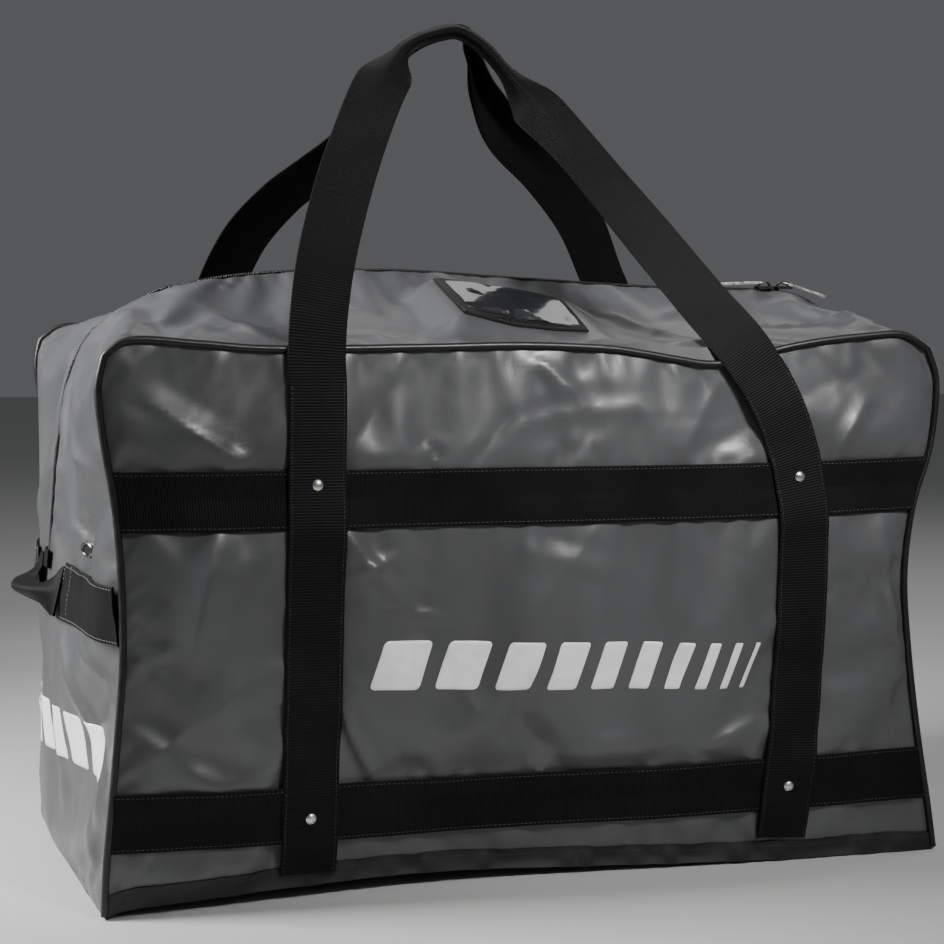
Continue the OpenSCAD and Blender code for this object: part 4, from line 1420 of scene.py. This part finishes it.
def make_ends():
    for side, out in (("left", LEFT), ("right", RIGHT)):
        lines = []
        roots = {}
        for face, sign in FACES.items():
            y = sign * np.linspace(HALF_DEPTH - 0.004, ROOT_Y - 0.004, 46)
            g, n = laid(side, end_points(y, END_Z + ACROSS * WEB / 2), WEB_THICK / 2 + 0.0004, across=4)
            roots[face] = g[-3, CENTRE]
            web_piece(f"end_patch_{side}_{face}", g, n)
            lines += edge_lines(g, n, WEB_THICK)
            for row in (-2, -8):
                lines.append((g[row] + n[row] * WEB_THICK / 2, n[row]))
        dress(dashes(f"end_stitches_{side}", lines, key="pale_thread"))
        stations = []
        for y, reach, drop, fold in GRAB_STATIONS:
            face = "front" if y < 0 else "rear"
            x = roots[face][0] / MM + out * (2.6 + reach)
            stations.append(((x, y, END_Z / MM - drop), (out, 0, 0.25), fold))
        mid, normal = ribbon(smooth_values(stations, 90), WEB * 0.9)
        start = roots["front"][0]
        web_piece(f"end_handle_{side}", mid, normal, f"grab_handle_{side}",
                  ((start + out * 0.003, 0, END_Z), (start + out * 0.018, 0, END_Z)))
        g, n = laid(side, end_points(np.linspace(-0.017, 0.017, 20), TAB_Z + ACROSS * 0.008), 0.0022)
        web_piece(f"zip_end_tab_{side}", g, n, thick=TAB_THICK)


make_ends()

# ---- the printed mark: slanted bars that get narrower ----------------------------------------

BAR_SHARES = [46, 40, 34, 29, 24, 19, 15, 11, 8, 5]
BAR_GAP = 15
BAR_SLANT = 0.34
BAR_SIDES = 72
BAR_RINGS = (1, 0.985, 0.85, 0.7, 0.55, 0.4, 0.25, 0.1)
INK_LIFT = 0.00045


def bar_patch(left, width, height):
    """A filled slanted bar as rings of points shrinking to its middle, to follow the skin closely."""
    c = min(width, height) * 0.1
    outline = rounded([(width - c, c), (width - c, height - c), (c, height - c), (c, c)], c, 5)
    outline[:, 0] += left + BAR_SLANT * outline[:, 1]
    edge = resample(np.concatenate([outline, outline[:1]]), BAR_SIDES)[:-1]
    centre = edge.mean(0)
    return np.concatenate([centre + (edge - centre) * k for k in BAR_RINGS])


def make_print(name, side, start, length, height, fall=0.0):
    """Bars over a length of the skin, in a row that falls by a share of its length."""
    scale = length / (sum(BAR_SHARES) + BAR_GAP * (len(BAR_SHARES) - 1))
    along = np.array([1.0, 0, 0]) if side == "front" else np.array([0, 1.0, 0])
    lift = np.where(np.arange(BAR_SIDES * len(BAR_RINGS)) < BAR_SIDES, 0, INK_LIFT)[:, None]
    faces = [*loop_faces(len(BAR_RINGS), BAR_SIDES), range(len(lift) - BAR_SIDES, len(lift))]
    bars, left = [], 0.0
    for share in BAR_SHARES:
        flat = bar_patch(left * scale, share * scale, height)
        p = start + flat[:, :1] * along + (flat[:, 1:] - fall * flat[:, :1]) * (0, 0, 1)
        bars.append((on_skin(side, p) + lift * OUT[side], faces))
        left += share + BAR_GAP
    return dress(new_mesh(name, *gathered(bars), "print"))


make_print("front_mark", "front", np.array([-0.183, 0, 0.188]), 0.362, 0.043, fall=0.045)
make_print("end_mark", "left", np.array([0, -0.170, 0.106]), 0.300, 0.045)

# ---- camera, light, floor --------------------------------------------------------------------

CAM_PLACE = Vector((-0.669, -1.907, 0.547))
CAM_YAW, CAM_PITCH, CAM_ROLL = np.radians([18.97, -5.47, 0.94])
SENSOR, FOCAL = 36.0, 77.9


def make_camera():
    data = bpy.data.cameras.new("camera")
    data.sensor_width = SENSOR
    data.lens = FOCAL
    cam = bpy.data.objects.new("camera", data)
    turn = Euler((math.pi / 2 + CAM_PITCH, 0, -CAM_YAW)).to_matrix() @ Matrix.Rotation(CAM_ROLL, 3, "Z")
    cam.matrix_world = Matrix.Translation(CAM_PLACE) @ turn.to_4x4()
    bpy.context.scene.collection.objects.link(cam)
    bpy.context.scene.camera = cam


LIGHTS = {                                  # place, aim, size, watts, spread in degrees
    "top_light": ((-0.9, 0.5, 2.3), (0.0, 0, 0.5), (1.6, 1.0), 10, 180),
    "left_light": ((-1.6, 0.1, 1.05), (-0.42, 0, 0.42), (0.5, 0.7), 15, 84),
    "front_fill": ((0.9, -3.2, 2.2), (0.1, 0, 0.3), (1.6, 1.2), 3, 180),
    "front_key": ((0.4, -1.45, 1.45), (0.14, -0.2, 0.52), (0.4, 0.3), 3, 48),
    "back_light": ((1.1, 2.2, 2.0), (0.1, 0, 0.5), (1.5, 0.8), 4, 180),
    "right_edge": ((2.4, 0.4, 1.2), (0.2, 0, 0.4), (0.5, 1.4), 9, 180),
}


def area_light(name, place, aim, size, watts, spread):
    data = bpy.data.lights.new(name, "AREA")
    data.shape = "RECTANGLE"
    data.size, data.size_y = size
    data.energy = watts
    data.spread = math.radians(spread)
    obj = bpy.data.objects.new(name, data)
    obj.location = place
    obj.rotation_euler = (Vector(aim) - Vector(place)).to_track_quat("-Z", "Y").to_euler()
    bpy.context.scene.collection.objects.link(obj)


def make_stage():
    bpy.ops.mesh.primitive_plane_add(size=14)
    floor = bpy.context.object
    floor.name = "floor"
    floor.data.materials.append(Nodes("floor_paper", (0.56, 0.56, 0.55), 0.8).mat)
    for name, settings in LIGHTS.items():
        area_light(name, *settings)
    world = bpy.data.worlds.new("world")
    world.use_nodes = True
    sky = world.node_tree.nodes["Background"]
    sky.inputs["Color"].default_value = (0.9, 0.92, 0.95, 1)
    sky.inputs["Strength"].default_value = 0.11
    bpy.context.scene.world = world


make_camera()
make_stage()
